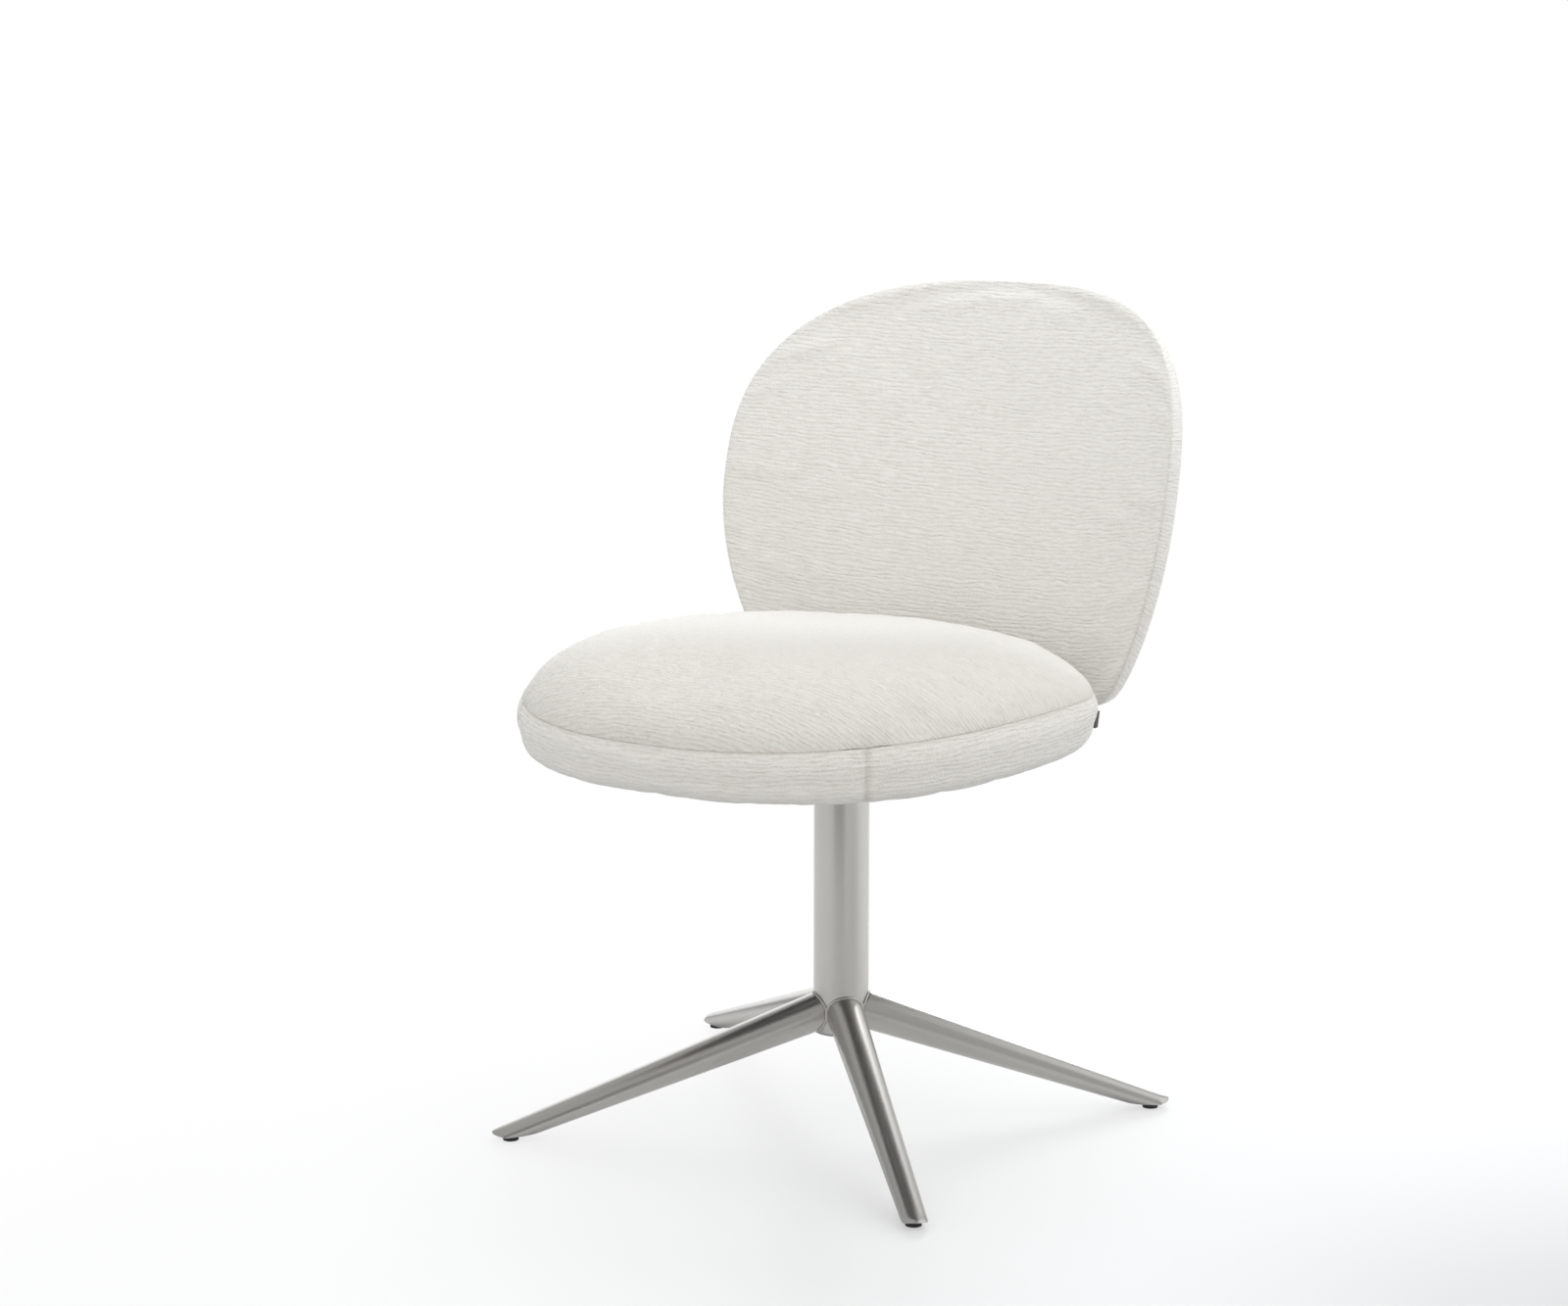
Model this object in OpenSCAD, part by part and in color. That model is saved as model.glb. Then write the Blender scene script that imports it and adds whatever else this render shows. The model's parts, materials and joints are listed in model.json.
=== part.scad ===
// Swivel dining chair: four tapered legs on a round column, an oval padded seat
// that turns on the column, and a padded back that leans and wraps round the sitter.
// Millimetres. The origin is on the floor in the middle of the chair's plan, +Z is
// up, and the sitter faces -Y. Left and right are the sitter's own: left is +X.
// Apart from column_y, all lengths across the floor start at the column's axis.

/* [Column] */
// Y of the column's axis, a little in front of the plan's middle
column_y = -7.5; // [-12:0.5:0]
// Outer diameter of the column tube
column_d = 55; // [48:1:64]
// Wall thickness of the column tube
column_wall = 2.5; // [1.5:0.5:4]
// Height of the tube's lower end above the floor
column_bottom_z = 86; // [70:1:100]
// Height of the tube's upper end above the floor
column_top_z = 372; // [360:1:372]
// Thickness of the cap that closes the tube's lower end
end_cap_t = 2; // [1:0.5:4]

/* [Legs] */
// Distance from the column's axis to a front glide
front_reach = 337; // [280:1:380]
// Distance from the column's axis to a rear glide
rear_reach = 312; // [270:1:360]
// Angle of a front leg from straight ahead
front_leg_angle = 42.3; // [36:0.1:46]
// Angle of a rear leg from straight behind
rear_leg_angle = 56.4; // [48:0.1:62]
// Height of a leg where it meets the column
leg_root_h = 40; // [30:1:44]
// Width of a leg where it meets the column
leg_root_w = 37; // [28:1:40]
// Height of a leg's section at its tip, before its foot is cut flat
leg_tip_h = 15; // [13:0.5:20]
// Width of a leg's section at its tip
leg_tip_w = 22; // [20:1:28]
// Height of a leg's point above the floor
leg_tip_top = 10; // [8:0.5:12]
// How far a leg's tip passes its glide
leg_overhang = 18.5; // [15:0.5:26]

/* [Glides] */
// Diameter of a floor glide
glide_d = 15.5; // [12:0.5:20]
// Thickness of a floor glide
glide_t = 5; // [3:0.5:7]
// Diameter of a glide's stud
glide_stud_d = 6; // [4:0.5:7]
// Length of a glide's stud
glide_stud_l = 5.5; // [3:0.5:7]

/* [Swivel] */
// Diameter of the spindle that turns in the column
spindle_d = 25; // [20:1:30]
// Diameter of the spindle's flange
spindle_flange_d = 60; // [50:1:70]
// Length of the upper bush inside the tube
upper_bush_l = 30; // [20:1:40]
// Length of the lower bush inside the tube
lower_bush_l = 20; // [15:1:30]
// Distance between the two bushes
bush_spacing = 32; // [20:1:60]
// Thickness of the upper bush's flange
bush_flange_t = 3; // [2:0.5:4]
// Thickness of the thrust washer
thrust_washer_t = 2.8; // [1.5:0.1:4]
// Thickness of the retaining ring
ring_t = 1.5; // [1:0.1:2.5]
// Thickness of the washer above the retaining ring
retaining_washer_t = 2.8; // [1.5:0.1:4]

/* [Seat frame] */
// Thickness of the two rails under the seat
rail_t = 6; // [4:0.5:8]
// Width of a rail
rail_w = 28; // [20:1:36]
// Distance of a rail's centre line from the middle
rail_x = 55; // [52:1:70]
// How far the rails reach in front of the column's axis
rail_front = 125; // [110:1:160]
// Width of the mounting plate
plate_w = 145; // [140:1:180]
// Thickness of the mounting plate
plate_t = 5; // [3:0.5:8]
// How far the front seat bolts lie in front of the column's axis
front_bolt_y = 100; // [80:1:105]
// How far the rear seat bolts lie behind the column's axis
rear_bolt_y = 45; // [36:1:60]
// Diameter of a seat bolt
bolt_d = 6; // [5:1:8]
// Thickness of a seat spacer
spacer_t = 9; // [7:0.5:14]
// Diameter of a seat spacer
spacer_d = 18; // [14:1:22]

/* [Seat] */
// Width of the seat at its widest line
seat_w = 519; // [480:1:560]
// How far the seat's widest line lies in front of the column's axis
seat_forward = 20.5; // [10:0.5:40]
// Depth of the seat in front of its widest line
seat_front = 325.5; // [300:0.5:340]
// Depth of the seat behind its widest line
seat_rear = 251.5; // [230:0.5:252]
// Squareness of the outline in front, 2 for an ellipse
front_squareness = 2.4; // [2:0.05:2.8]
// Squareness of the outline behind, 2 for an ellipse
rear_squareness = 1.9; // [1.8:0.05:2.2]
// Height of the border below the seam
border_h = 54; // [48:1:60]
// Radius of the border's lower edge
border_r = 23.5; // [16:0.5:26]
// How far the border's side swells beyond its seams
border_swell = 3.5; // [0:0.5:5]
// How far the seam rises and hangs on its way round the seat
seam_wave = 2.2; // [0:0.1:4]
// Height of the crown above the seam
seat_crown = 48.5; // [40:0.5:60]
// How much higher the crown stands in front than behind
seat_fall = 14.5; // [0:0.5:20]
// Thickness of the seat board
board_t = 12; // [10:0.5:18]
// How far the seat board's edge lies inside the border
board_inset = 28; // [28:1:40]
// Thickness of the upholstery cloth with its backing
cloth_t = 2.2; // [1.5:0.1:3]
// Thickness of the dust cover
dust_cover_t = 1; // [0.5:0.1:2]

/* [Back] */
// Greatest width of the back
back_w = 511; // [460:1:540]
// Height of the back's top above its widest level, along the lean
back_rise = 228; // [200:1:260]
// Half height of the ellipse that shapes the back's lower sides
back_drop = 318; // [290:1:360]
// Squareness of the back's upper corners, 2 for an ellipse
back_squareness = 2.55; // [2:0.05:3]
// Radius of the wrap round the sitter
wrap_r = 356; // [330:1:420]
// Lean of the back from upright
back_lean = 14.6; // [8:0.1:20]
// Distance of the back's front from the column's axis at the seat's seam
back_y = 253; // [250:1:275]
// Height of the back's lower edge above the floor
back_bottom_z = 395; // [394.5:0.5:410]
// Crown of the back's front pad
front_crown = 10; // [6:0.5:16]
// Bulge of the back's rear pad
rear_bulge = 30; // [29:0.5:40]
// Thickness of the moulded plywood shell
shell_t = 7; // [6:0.5:8]
// Share of the back's outline that the shell fills
shell_share = 0.9; // [0.8:0.01:0.9]
// Thickness of the steel band and its tabs
band_t = 5; // [3:0.5:5]
// Height of the steel band
band_h = 16; // [12:1:18]
// Reach of the band to each side of the middle
band_reach = 183; // [150:1:190]
// Width of a tab
tab_w = 36; // [28:1:46]
// Distance of a tab's centre line from the middle
tab_x = 72; // [60:1:90]
// Height of the tabs above the band
tab_h = 78; // [70:1:90]
// Diameter of a back screw
screw_d = 5; // [4:0.5:6]

/* [Hidden] */

// Clearances: running fits, fixed fits, soft pieces and drilled holes
run_gap = 0.05;
fit_gap = 0.05;
soft_gap = 0.3;
seam_gap = 0.1;
hole_gap = 0.3;
eps = 0.01;
// A soft pad's flat facets cut inside its curve by less than this
facet_gap = 1.2;

// Facet counts: turned parts, oval hulls, board outlines and soft pads
round_fn = 96;
hull_fn = 64;
outline_n = 96;
pad_n = 48;

steel = "#b9b5ae";
dark_steel = "#6f6d69";
black = "#1c1c1c";
nylon = "#d8d6cf";
plywood = "#c79a63";
foam = "#e6d9a8";
cloth = "#efebe2";

column_r = column_d / 2;
bore_r = column_r - column_wall;
spindle_r = spindle_d / 2;

// Levels of the swivel, from the tube's upper end upwards
flange_top_z = column_top_z + bush_flange_t;
washer_top_z = flange_top_z + 2 * run_gap + thrust_washer_t;
rail_z = washer_top_z + 2 * run_gap;
plate_z = rail_z + rail_t;
spacer_z = plate_z + plate_t;
board_z = spacer_z + spacer_t;
board_top_z = board_z + board_t;

// Levels of the swivel, from the tube's upper end downwards
lower_bush_top_z = column_top_z - upper_bush_l - bush_spacing;
lower_bush_z = lower_bush_top_z - lower_bush_l;
retaining_washer_z = lower_bush_z - 2 * run_gap - retaining_washer_t;
ring_z = retaining_washer_z - run_gap - ring_t;
spindle_end = 7;
ring_groove = 1;

// A leg's section reaches below the column's lower end by this much
leg_root_sink = 2;
// A foot rises at this angle from its glide to its tip
foot_rise = 15;

// The border hangs below the board by this much, and the seam lies above it
border_hang = 9;
border_z = board_z - border_hang;
seam_z = border_z + border_h;
seat_crown_power = 7.2;
seat_crown_root = 0.87;
staple_in = board_inset + 32;

// The back's own frame: its front stands at back_y at this height
back_z = 440;
back_a = back_w / 2;
back_mid = 150;
back_bottom = (back_bottom_z - back_z) / cos(back_lean);
back_corner_power = 20;
back_bottom_curve = tan(back_lean) / (2 * wrap_r);
crown_power = 4;
crown_root = 0.7;
bulge_power = 7;
bulge_root = 0.45;

// Layers of the back, measured backwards from its edge seam
band_in = 3;
shell_in = band_in + band_t;
shell_out = shell_in + shell_t;
band_top_z = back_bottom_z - 1;
band_z = band_top_z - band_h;
screw_rise = [36, 64];
screw_head_d = 2 * screw_d;
tee_flange_t = 1.5;

// Colours a node and sets the column's axis in its place on the floor plan
module placed(paint) {
    color(paint) translate([0, column_y, 0]) children();
}

// Superellipse radius along angle t, with half axes a and b and squareness n
function oval_r(t, a, b, n) =
    pow(pow(abs(cos(t)) / a, n) + pow(abs(sin(t)) / b, n), -1 / n);

// Radius of the seat's outline about its widest line, drawn in by the given inset
function seat_r(t, inset = 0) = sin(t) < 0
    ? oval_r(t, seat_w / 2 - inset, seat_front - inset, front_squareness)
    : oval_r(t, seat_w / 2 - inset, seat_rear - inset, rear_squareness);

function seat_outline(inset) =
    [for (i = [0:outline_n - 1]) let (t = 360 * i / outline_n)
        [seat_r(t, inset) * cos(t), seat_r(t, inset) * sin(t) - seat_forward]];

// A seat point along angle t: share of the outline, inset and height
function seat_point(t, share, inset, z) =
    [share * seat_r(t, inset) * cos(t),
     share * seat_r(t, inset) * sin(t) - seat_forward, z];

// The seam hangs in the middle of the front and rises towards the front corners
function seam_height(t) = seam_z + seam_wave * (cos(2 * t) - sin(3 * t));

// The crown swells quickly from the seam and flattens towards the middle
function crown_height(t, share, drop) =
    (seat_crown - drop - seat_fall * share * sin(t))
    * pow(1 - pow(share, seat_crown_power), seat_crown_root);

function seat_top_point(t, share, inset) =
    seat_point(t, share, inset, crown_height(t, share, inset)
        + seam_z + (seam_height(t) - seam_z) * pow(share, 2));

function seat_ring(share, inset) =
    [for (i = [0:pad_n - 1]) seat_top_point(360 * i / pad_n, share, inset)];

// The border's section: inset and height, for a skin drawn in by the given depth
function border_section(depth) = [
    for (u = [1 / 3, 2 / 3])
        [depth - border_swell * sin(180 * u), u],
    for (u = [0:30:90])
        [depth + (border_r - depth) * (1 - cos(u)),
         border_z + depth + (border_r - depth) * (1 - sin(u))]];

// A border point: a height below 1 is a share of the way from the seam down
function border_point(t, station) = let (
        inset = station[0],
        top = seam_height(t),
        low = border_z + border_r,
        z = station[1] < 1 ? top + (low - top) * station[1] : station[1])
    seat_point(t, 1, inset, z);

function border_ring(station) =
    [for (i = [0:pad_n - 1]) border_point(360 * i / pad_n, station)];

// Distance from the back's middle to its lower edge, level with the floor
function back_floor_r(t) = let (
        fall = back_mid - back_bottom,
        root = pow(sin(t), 2) - 4 * back_bottom_curve * fall * pow(cos(t), 2))
    root <= 0 ? 1000 : 2 * fall / (-sin(t) + sqrt(root));

// Radius of the back's outline: oval above, a longer oval cut level below
function back_r(t) = sin(t) >= 0
    ? oval_r(t, back_a, back_rise, back_squareness)
    : pow(pow(oval_r(t, back_a, back_drop, 2), -back_corner_power)
        + pow(back_floor_r(t), -back_corner_power), -1 / back_corner_power);

// A point of the back: share of the outline, inset, and depth behind the seam
function back_point(t, share, inset, depth) = let (
        r = share * (back_r(t) - inset),
        bend = asin(r * cos(t) / wrap_r))
    [(wrap_r + depth) * sin(bend), (wrap_r + depth) * cos(bend) - wrap_r,
     back_mid + r * sin(t)];

function front_depth(share, drop) =
    -(front_crown - drop) * pow(1 - pow(share, crown_power), crown_root);

function rear_depth(share, drop) =
    (rear_bulge - drop) * pow(1 - pow(share, bulge_power), bulge_root);

function back_ring(share, inset, depth) =
    [for (i = [0:pad_n - 1]) back_point(360 * i / pad_n, share, inset, depth)];

function back_outline(share) =
    [for (i = [0:outline_n - 1]) let (t = 360 * i / outline_n)
        share * back_r(t) * [cos(t), sin(t)] + [0, back_mid]];

// Faces of the strip between rings i and j of n points each. The quads' diagonals
// mirror from left to right, and a turned strip has the other ones, so that two
// skins laid from opposite ends stay parallel.
function strip(i, j, n, turned) =
    [for (k = [0:n - 1]) let (m = (k + 1) % n, other = floor(4 * k / n) % 2 == 1)
        each other != turned
            ? [[i * n + k, i * n + m, j * n + k], [i * n + m, j * n + m, j * n + k]]
            : [[i * n + k, i * n + m, j * n + m], [i * n + k, j * n + m, j * n + k]]];

// A closed skin between two poles, through the rings out and the rings back
module pole_loft(first, out, back, last) {
    rings = concat(out, back);
    n = len(rings[0]);
    count = len(rings);
    points = concat([for (ring = rings) each ring], [first, last]);
    top_fan = [for (k = [0:n - 1]) [n * count, (k + 1) % n, k]];
    low_fan = [for (k = [0:n - 1])
        [n * count + 1, n * (count - 1) + k, n * (count - 1) + (k + 1) % n]];
    walls = [for (i = [0:count - 2]) each strip(i, i + 1, n, i >= len(out))];
    polyhedron(points, concat(top_fan, walls, low_fan), convexity = 6);
}

// A closed skin through the rings out and the rings back, the last joined to the first
module loop_loft(out, back) {
    rings = concat(out, back);
    n = len(rings[0]);
    count = len(rings);
    walls = [for (i = [0:count - 1]) each strip(i, (i + 1) % count, n, i >= len(out))];
    polyhedron([for (ring = rings) each ring], walls, convexity = 6);
}

module rod(d, z, h) {
    translate([0, 0, z]) cylinder(d = d, h = h, $fn = round_fn);
}

module tube(outer_d, inner_d, z, h) {
    difference() {
        rod(outer_d, z, h);
        rod(inner_d, z - eps, h + 2 * eps);
    }
}

module block(x, y, z, w, d, h) {
    translate([x - w / 2, y, z]) cube([w, d, h]);
}

// The part of space between two directions from the column's axis
module sector(from, to) {
    far = 600;
    linear_extrude(height = column_top_z)
        polygon([[0, 0], for (s = [0:3]) let (t = from + (to - from) * s / 3)
            far * [cos(t), sin(t)]]);
}

// A leg's upright section at x: its top line falls straight to the tip's point
module leg_section(x, reach) {
    share = (x - column_r) / (reach + leg_overhang - column_r);
    h = leg_root_h + (leg_tip_h - leg_root_h) * share;
    w = leg_root_w + (leg_tip_w - leg_root_w) * share;
    root_top = column_bottom_z + leg_root_h - leg_root_sink;
    top = root_top + (leg_tip_top - root_top) * share;
    translate([x, 0, top - h / 2]) rotate([0, 90, 0])
        linear_extrude(height = eps) scale([h / 2, w / 2]) circle(r = 1, $fn = hull_fn);
}

// One leg along +X: an oval taper, rounded off in plan at its tip
module leg_blank(reach) {
    round_x = reach + leg_overhang - leg_tip_w / 2;
    intersection() {
        hull() {
            leg_section(column_r / 3, reach);
            leg_section(reach + leg_overhang + leg_tip_w, reach);
        }
        union() {
            block(round_x / 2, -leg_root_w, -leg_root_h, round_x,
                2 * leg_root_w, column_top_z);
            translate([round_x, 0, 0]) rod(leg_tip_w, -leg_root_h, column_top_z);
        }
    }
}

// What is cut off under a leg: level over the glide, and rising towards the tip
module leg_foot_cut(reach) {
    block(reach / 2, -leg_root_w, -leg_root_h, reach * 2, 2 * leg_root_w,
        leg_root_h + glide_t);
    translate([reach + glide_d / 2, 0, glide_t]) rotate([0, -foot_rise, 0])
        block(leg_root_h / 2, -leg_root_w, -leg_root_h, leg_root_h,
            2 * leg_root_w, leg_root_h);
}

module leg(angle, reach, from, to) {
    placed(steel) intersection() {
        rotate([0, 0, angle]) difference() {
            leg_blank(reach);
            leg_foot_cut(reach);
            translate([reach, 0, 0])
                rod(glide_stud_d + 2 * fit_gap, 0, glide_t + glide_stud_l + hole_gap);
            rotate([0, 0, -angle]) rod(column_d + 2 * fit_gap, 0, column_top_z);
        }
        sector(from, to);
    }
}

front_dir = 90 - front_leg_angle;
rear_dir = 90 - rear_leg_angle;
side_dir = (rear_dir - front_dir) / 2;

module leg_front_left() {
    leg(-front_dir, front_reach, -90, side_dir);
}

module leg_front_right() {
    leg(180 + front_dir, front_reach, 180 - side_dir, 270);
}

module leg_rear_left() {
    leg(rear_dir, rear_reach, side_dir, 90);
}

module leg_rear_right() {
    leg(180 - rear_dir, rear_reach, 90, 180 - side_dir);
}

module column_tube() {
    placed(steel) tube(column_d, 2 * bore_r, column_bottom_z,
        column_top_z - column_bottom_z);
}

module column_end_cap() {
    plug_h = 10;
    placed(black) {
        rod(column_d, column_bottom_z - end_cap_t, end_cap_t);
        rod(2 * (bore_r - fit_gap), column_bottom_z - eps, plug_h);
    }
}

module floor_glides() {
    places = [[-front_dir, front_reach], [180 + front_dir, front_reach],
        [rear_dir, rear_reach], [180 - rear_dir, rear_reach]];
    placed(black) for (place = places)
        rotate([0, 0, place[0]]) translate([place[1], 0, 0]) {
            rod(glide_d, 0, glide_t);
            rod(glide_stud_d, 0, glide_t + glide_stud_l);
        }
}

module upper_bush() {
    placed(nylon) difference() {
        union() {
            rod(2 * (bore_r - fit_gap), column_top_z - upper_bush_l, upper_bush_l + eps);
            rod(column_d, column_top_z, bush_flange_t);
        }
        rod(spindle_d + 2 * run_gap, 0, flange_top_z + 1);
    }
}

module lower_bush() {
    placed(nylon) tube(2 * (bore_r - fit_gap), spindle_d + 2 * run_gap,
        lower_bush_z, lower_bush_l);
}

module thrust_washer() {
    placed(nylon) tube(column_d, spindle_d + 4 * run_gap,
        flange_top_z + run_gap, thrust_washer_t);
}

// The spigot above the flange centres the mounting plate
module spindle() {
    low = ring_z - spindle_end;
    placed(dark_steel) difference() {
        union() {
            rod(spindle_d, low, rail_z - low);
            rod(spindle_flange_d, rail_z, rail_t);
            rod(spindle_d - 5, rail_z, rail_t + plate_t);
        }
        tube(spindle_d + 1, spindle_d - 2 * ring_groove, ring_z - fit_gap,
            ring_t + 2 * fit_gap);
    }
}

module retaining_washer() {
    placed(dark_steel) tube(spindle_d + 15, spindle_d + 2 * run_gap,
        retaining_washer_z, retaining_washer_t);
}

// An open spring ring in the spindle's groove
module retaining_ring() {
    placed(dark_steel) difference() {
        tube(spindle_d + 8, spindle_d - 2 * ring_groove + 2 * run_gap, ring_z, ring_t);
        block(0, 0, ring_z - eps, spindle_d / 3, spindle_d, ring_t + 2 * eps);
    }
}

bolt_places = [for (x = [-rail_x, rail_x], y = [-front_bolt_y, rear_bolt_y]) [x, y]];

module at_bolts() {
    for (place = bolt_places) translate([place[0], place[1], 0]) children();
}

module bolt_holes(z, h) {
    at_bolts() rod(bolt_d + 2 * hole_gap, z, h);
}

// A flat plate with rounded corners, from y0 to y1
module rounded_plate(w, y0, y1, z, h, r) {
    translate([0, 0, z]) linear_extrude(height = h) {
        translate([-w / 2 + r, y0]) square([w - 2 * r, y1 - y0]);
        translate([-w / 2, y0 + r]) square([w, y1 - y0 - 2 * r]);
        for (x = [-w / 2 + r, w / 2 - r], y = [y0 + r, y1 - r])
            translate([x, y]) circle(r = r, $fn = round_fn);
    }
}

module mounting_plate() {
    margin = 20;
    placed(dark_steel) difference() {
        rounded_plate(plate_w, -front_bolt_y - margin, rear_bolt_y + margin,
            plate_z, plate_t, 12);
        rod(spindle_d - 5 + 2 * fit_gap, plate_z - 1, plate_t + 2);
        bolt_holes(plate_z - 1, plate_t + 2);
    }
}

// Places children in the back's own frame, whose Z runs up the lean
module back_frame() {
    translate([0, back_y, back_z]) rotate([-back_lean, 0, 0]) children();
}

// A curved layer of the back between two depths, in the back's frame
module wrap_layer(near, far) {
    low = 120;
    translate([0, -wrap_r, -low]) difference() {
        cylinder(r = wrap_r + far, h = 2 * low + back_mid + back_rise, $fn = 180);
        translate([0, 0, -1])
            cylinder(r = wrap_r + near, h = 2 * low + back_mid + back_rise + 2, $fn = 180);
    }
}

// The steel band hugs the back's lower edge, and its two tabs rise inside the back
module band() {
    intersection() {
        back_frame() wrap_layer(band_in, shell_in);
        union() {
            block(0, 0, band_z, 2 * band_reach, 2 * back_y, band_h);
            for (side = [-1, 1])
                block(side * tab_x, 0, band_z, tab_w, 2 * back_y, band_h + tab_h);
        }
    }
}

module rails() {
    intersection() {
        for (side = [-1, 1])
            block(side * rail_x, -rail_front, rail_z, rail_w, rail_front + 2 * back_y, rail_t);
        back_frame() translate([0, -wrap_r, -(back_rise + back_drop) / 2])
            cylinder(r = wrap_r + band_in + band_t / 2, h = back_rise + back_drop, $fn = 180);
    }
}

// Places children on each back screw's axis, in the back's frame: it runs
// backwards along the children's +Z, and their origin lies at the seam's depth
module at_shell_screws() {
    bend = asin(tab_x / (wrap_r + shell_in));
    for (side = [-1, 1], rise = screw_rise)
        translate([0, -wrap_r, (band_top_z - back_z + rise) / cos(back_lean)])
            rotate([0, 0, -side * bend]) rotate([-90, 0, 0])
                translate([0, 0, wrap_r]) children();
}

module at_screws() {
    back_frame() at_shell_screws() children();
}

// A countersunk screw's envelope, widened by the gap
module screw_solid(gap, length) {
    rod(screw_d + 2 * gap, band_in, length);
    translate([0, 0, band_in])
        cylinder(d1 = screw_head_d + 2 * gap, d2 = screw_d + 2 * gap,
            h = screw_head_d / 4, $fn = round_fn);
}

module support_frame() {
    placed(dark_steel) difference() {
        union() {
            rails();
            band();
        }
        bolt_holes(rail_z - 1, rail_t + 2);
        at_screws() {
            screw_solid(fit_gap, shell_in);
            rod(screw_head_d + 2 * fit_gap, band_in - 3, 3 + eps);
        }
    }
}

module seat_bolts() {
    head_t = 4;
    placed(dark_steel) at_bolts() {
        rod(bolt_d, rail_z - 1, board_top_z - rail_z);
        difference() {
            rod(bolt_d + 4, rail_z - head_t, head_t);
            translate([0, 0, rail_z - head_t - 1]) cylinder(d = bolt_d, h = 3, $fn = 6);
        }
    }
}

module seat_spacers() {
    placed(black) at_bolts() tube(spacer_d, bolt_d + 2 * hole_gap, spacer_z, spacer_t);
}

// A flanged barrel nut, its flange flush with the far face
module tee_nut(d, z, h) {
    difference() {
        union() {
            rod(d + 2, z, h);
            rod(2 * d + 6, z + h - tee_flange_t, tee_flange_t);
        }
        rod(d + 2 * run_gap, z - 1, h + 2);
    }
}

module tee_nut_hole(d, z, h) {
    rod(d + 2 + 2 * hole_gap, z - h, 3 * h);
    rod(2 * d + 6 + 2 * hole_gap, z + h - tee_flange_t - run_gap, 2 * tee_flange_t);
}

module seat_tee_nuts() {
    placed(dark_steel) at_bolts() tee_nut(bolt_d, board_z + 2, board_t - 2);
}

module seat_board() {
    placed(plywood) difference() {
        translate([0, 0, board_z]) linear_extrude(height = board_t)
            polygon(seat_outline(board_inset));
        at_bolts() tee_nut_hole(bolt_d, board_z + 2, board_t - 2);
    }
}

module dust_cover() {
    placed(black) difference() {
        translate([0, 0, board_z - dust_cover_t]) linear_extrude(height = dust_cover_t)
            polygon(seat_outline(staple_in + 1));
        at_bolts() rod(spacer_d + 2 * hole_gap, board_z - 2 * dust_cover_t, 4 * dust_cover_t);
    }
}

crown_shares = [0.3, 0.6, 0.78, 0.88, 0.94, 0.98];

// The foam caps the board: crowned above, and wrapped down round the board's edge
module seat_foam() {
    skin = cloth_t + soft_gap;
    rebate = board_inset - facet_gap;
    floor_z = board_top_z + soft_gap;
    outer = [for (share = crown_shares) seat_ring(share, skin)];
    side = [for (station = border_section(skin)) border_ring(station)];
    inner = [border_ring([rebate, border_z + skin]), border_ring([rebate, floor_z])];
    placed(foam) pole_loft([0, -seat_forward, seam_z + seat_crown - skin],
        concat(outer, [seat_ring(1, skin)], side), inner, [0, -seat_forward, floor_z]);
}

module seat_top_cover() {
    shares = concat(crown_shares, [1]);
    outer = [for (share = shares) seat_ring(share, 0)];
    inner = [for (i = [len(shares) - 1:-1:0]) seat_ring(shares[i], cloth_t)];
    placed(cloth) translate([0, 0, seam_gap])
        pole_loft([0, -seat_forward, seam_z + seat_crown], outer, inner,
            [0, -seat_forward, seam_z + seat_crown - cloth_t]);
}

// The border wraps under the seat, where its edge is stapled to the board
module seat_border() {
    under = [[board_inset + 4, border_z], [board_inset + 14, board_z - cloth_t - 1],
        [staple_in, board_z - cloth_t]];
    over = [[staple_in, board_z], [board_inset + 14, board_z - 1],
        [board_inset + 4, border_z + cloth_t]];
    outer = concat([[0, 0]], border_section(0), under);
    section = border_section(cloth_t);
    inner = concat(over, [for (i = [len(section) - 1:-1:0]) section[i]], [[cloth_t, 0]]);
    placed(cloth) translate([0, 0, -seam_gap])
        loop_loft([for (station = outer) border_ring(station)],
            [for (station = inner) border_ring(station)]);
}

// A straight prism on the given share of the back's outline, in the back's frame
module back_prism(share) {
    translate([0, wrap_r, 0]) rotate([90, 0, 0]) linear_extrude(height = 2 * wrap_r)
        polygon(back_outline(share));
}

module back_shell() {
    placed(plywood) back_frame() difference() {
        intersection() {
            wrap_layer(shell_in, shell_out);
            back_prism(shell_share);
        }
        at_shell_screws() tee_nut_hole(screw_d, shell_in + 1, shell_t - 1);
    }
}

// The tabs' room in a soft piece, a little wider than the tabs
module tab_room() {
    intersection() {
        back_frame() wrap_layer(band_in - hole_gap, shell_in + hole_gap);
        for (side = [-1, 1])
            block(side * tab_x, 0, band_z, tab_w + 2 * hole_gap, 2 * back_y,
                band_h + tab_h + hole_gap);
    }
}

module back_screws() {
    placed(dark_steel) at_screws() screw_solid(0, shell_out - band_in - 1);
}

module back_tee_nuts() {
    placed(dark_steel) at_screws() tee_nut(screw_d, shell_in + 1, shell_t - 1);
}

pad_shares = [0.25, 0.5, 0.7, 0.84, 0.93];

// The back's whole padding, just inside its two covers
module back_padding() {
    skin = cloth_t + soft_gap;
    front = [for (share = concat(pad_shares, [1]))
        back_ring(share, skin, front_depth(share, skin))];
    rear_shares = concat([0.985], [for (i = [len(pad_shares) - 1:-1:0]) pad_shares[i]]);
    rear = [for (share = rear_shares) back_ring(share, skin, rear_depth(share, skin))];
    pole_loft([0, -front_crown + skin, back_mid], front, rear,
        [0, rear_bulge - skin, back_mid]);
}

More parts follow.
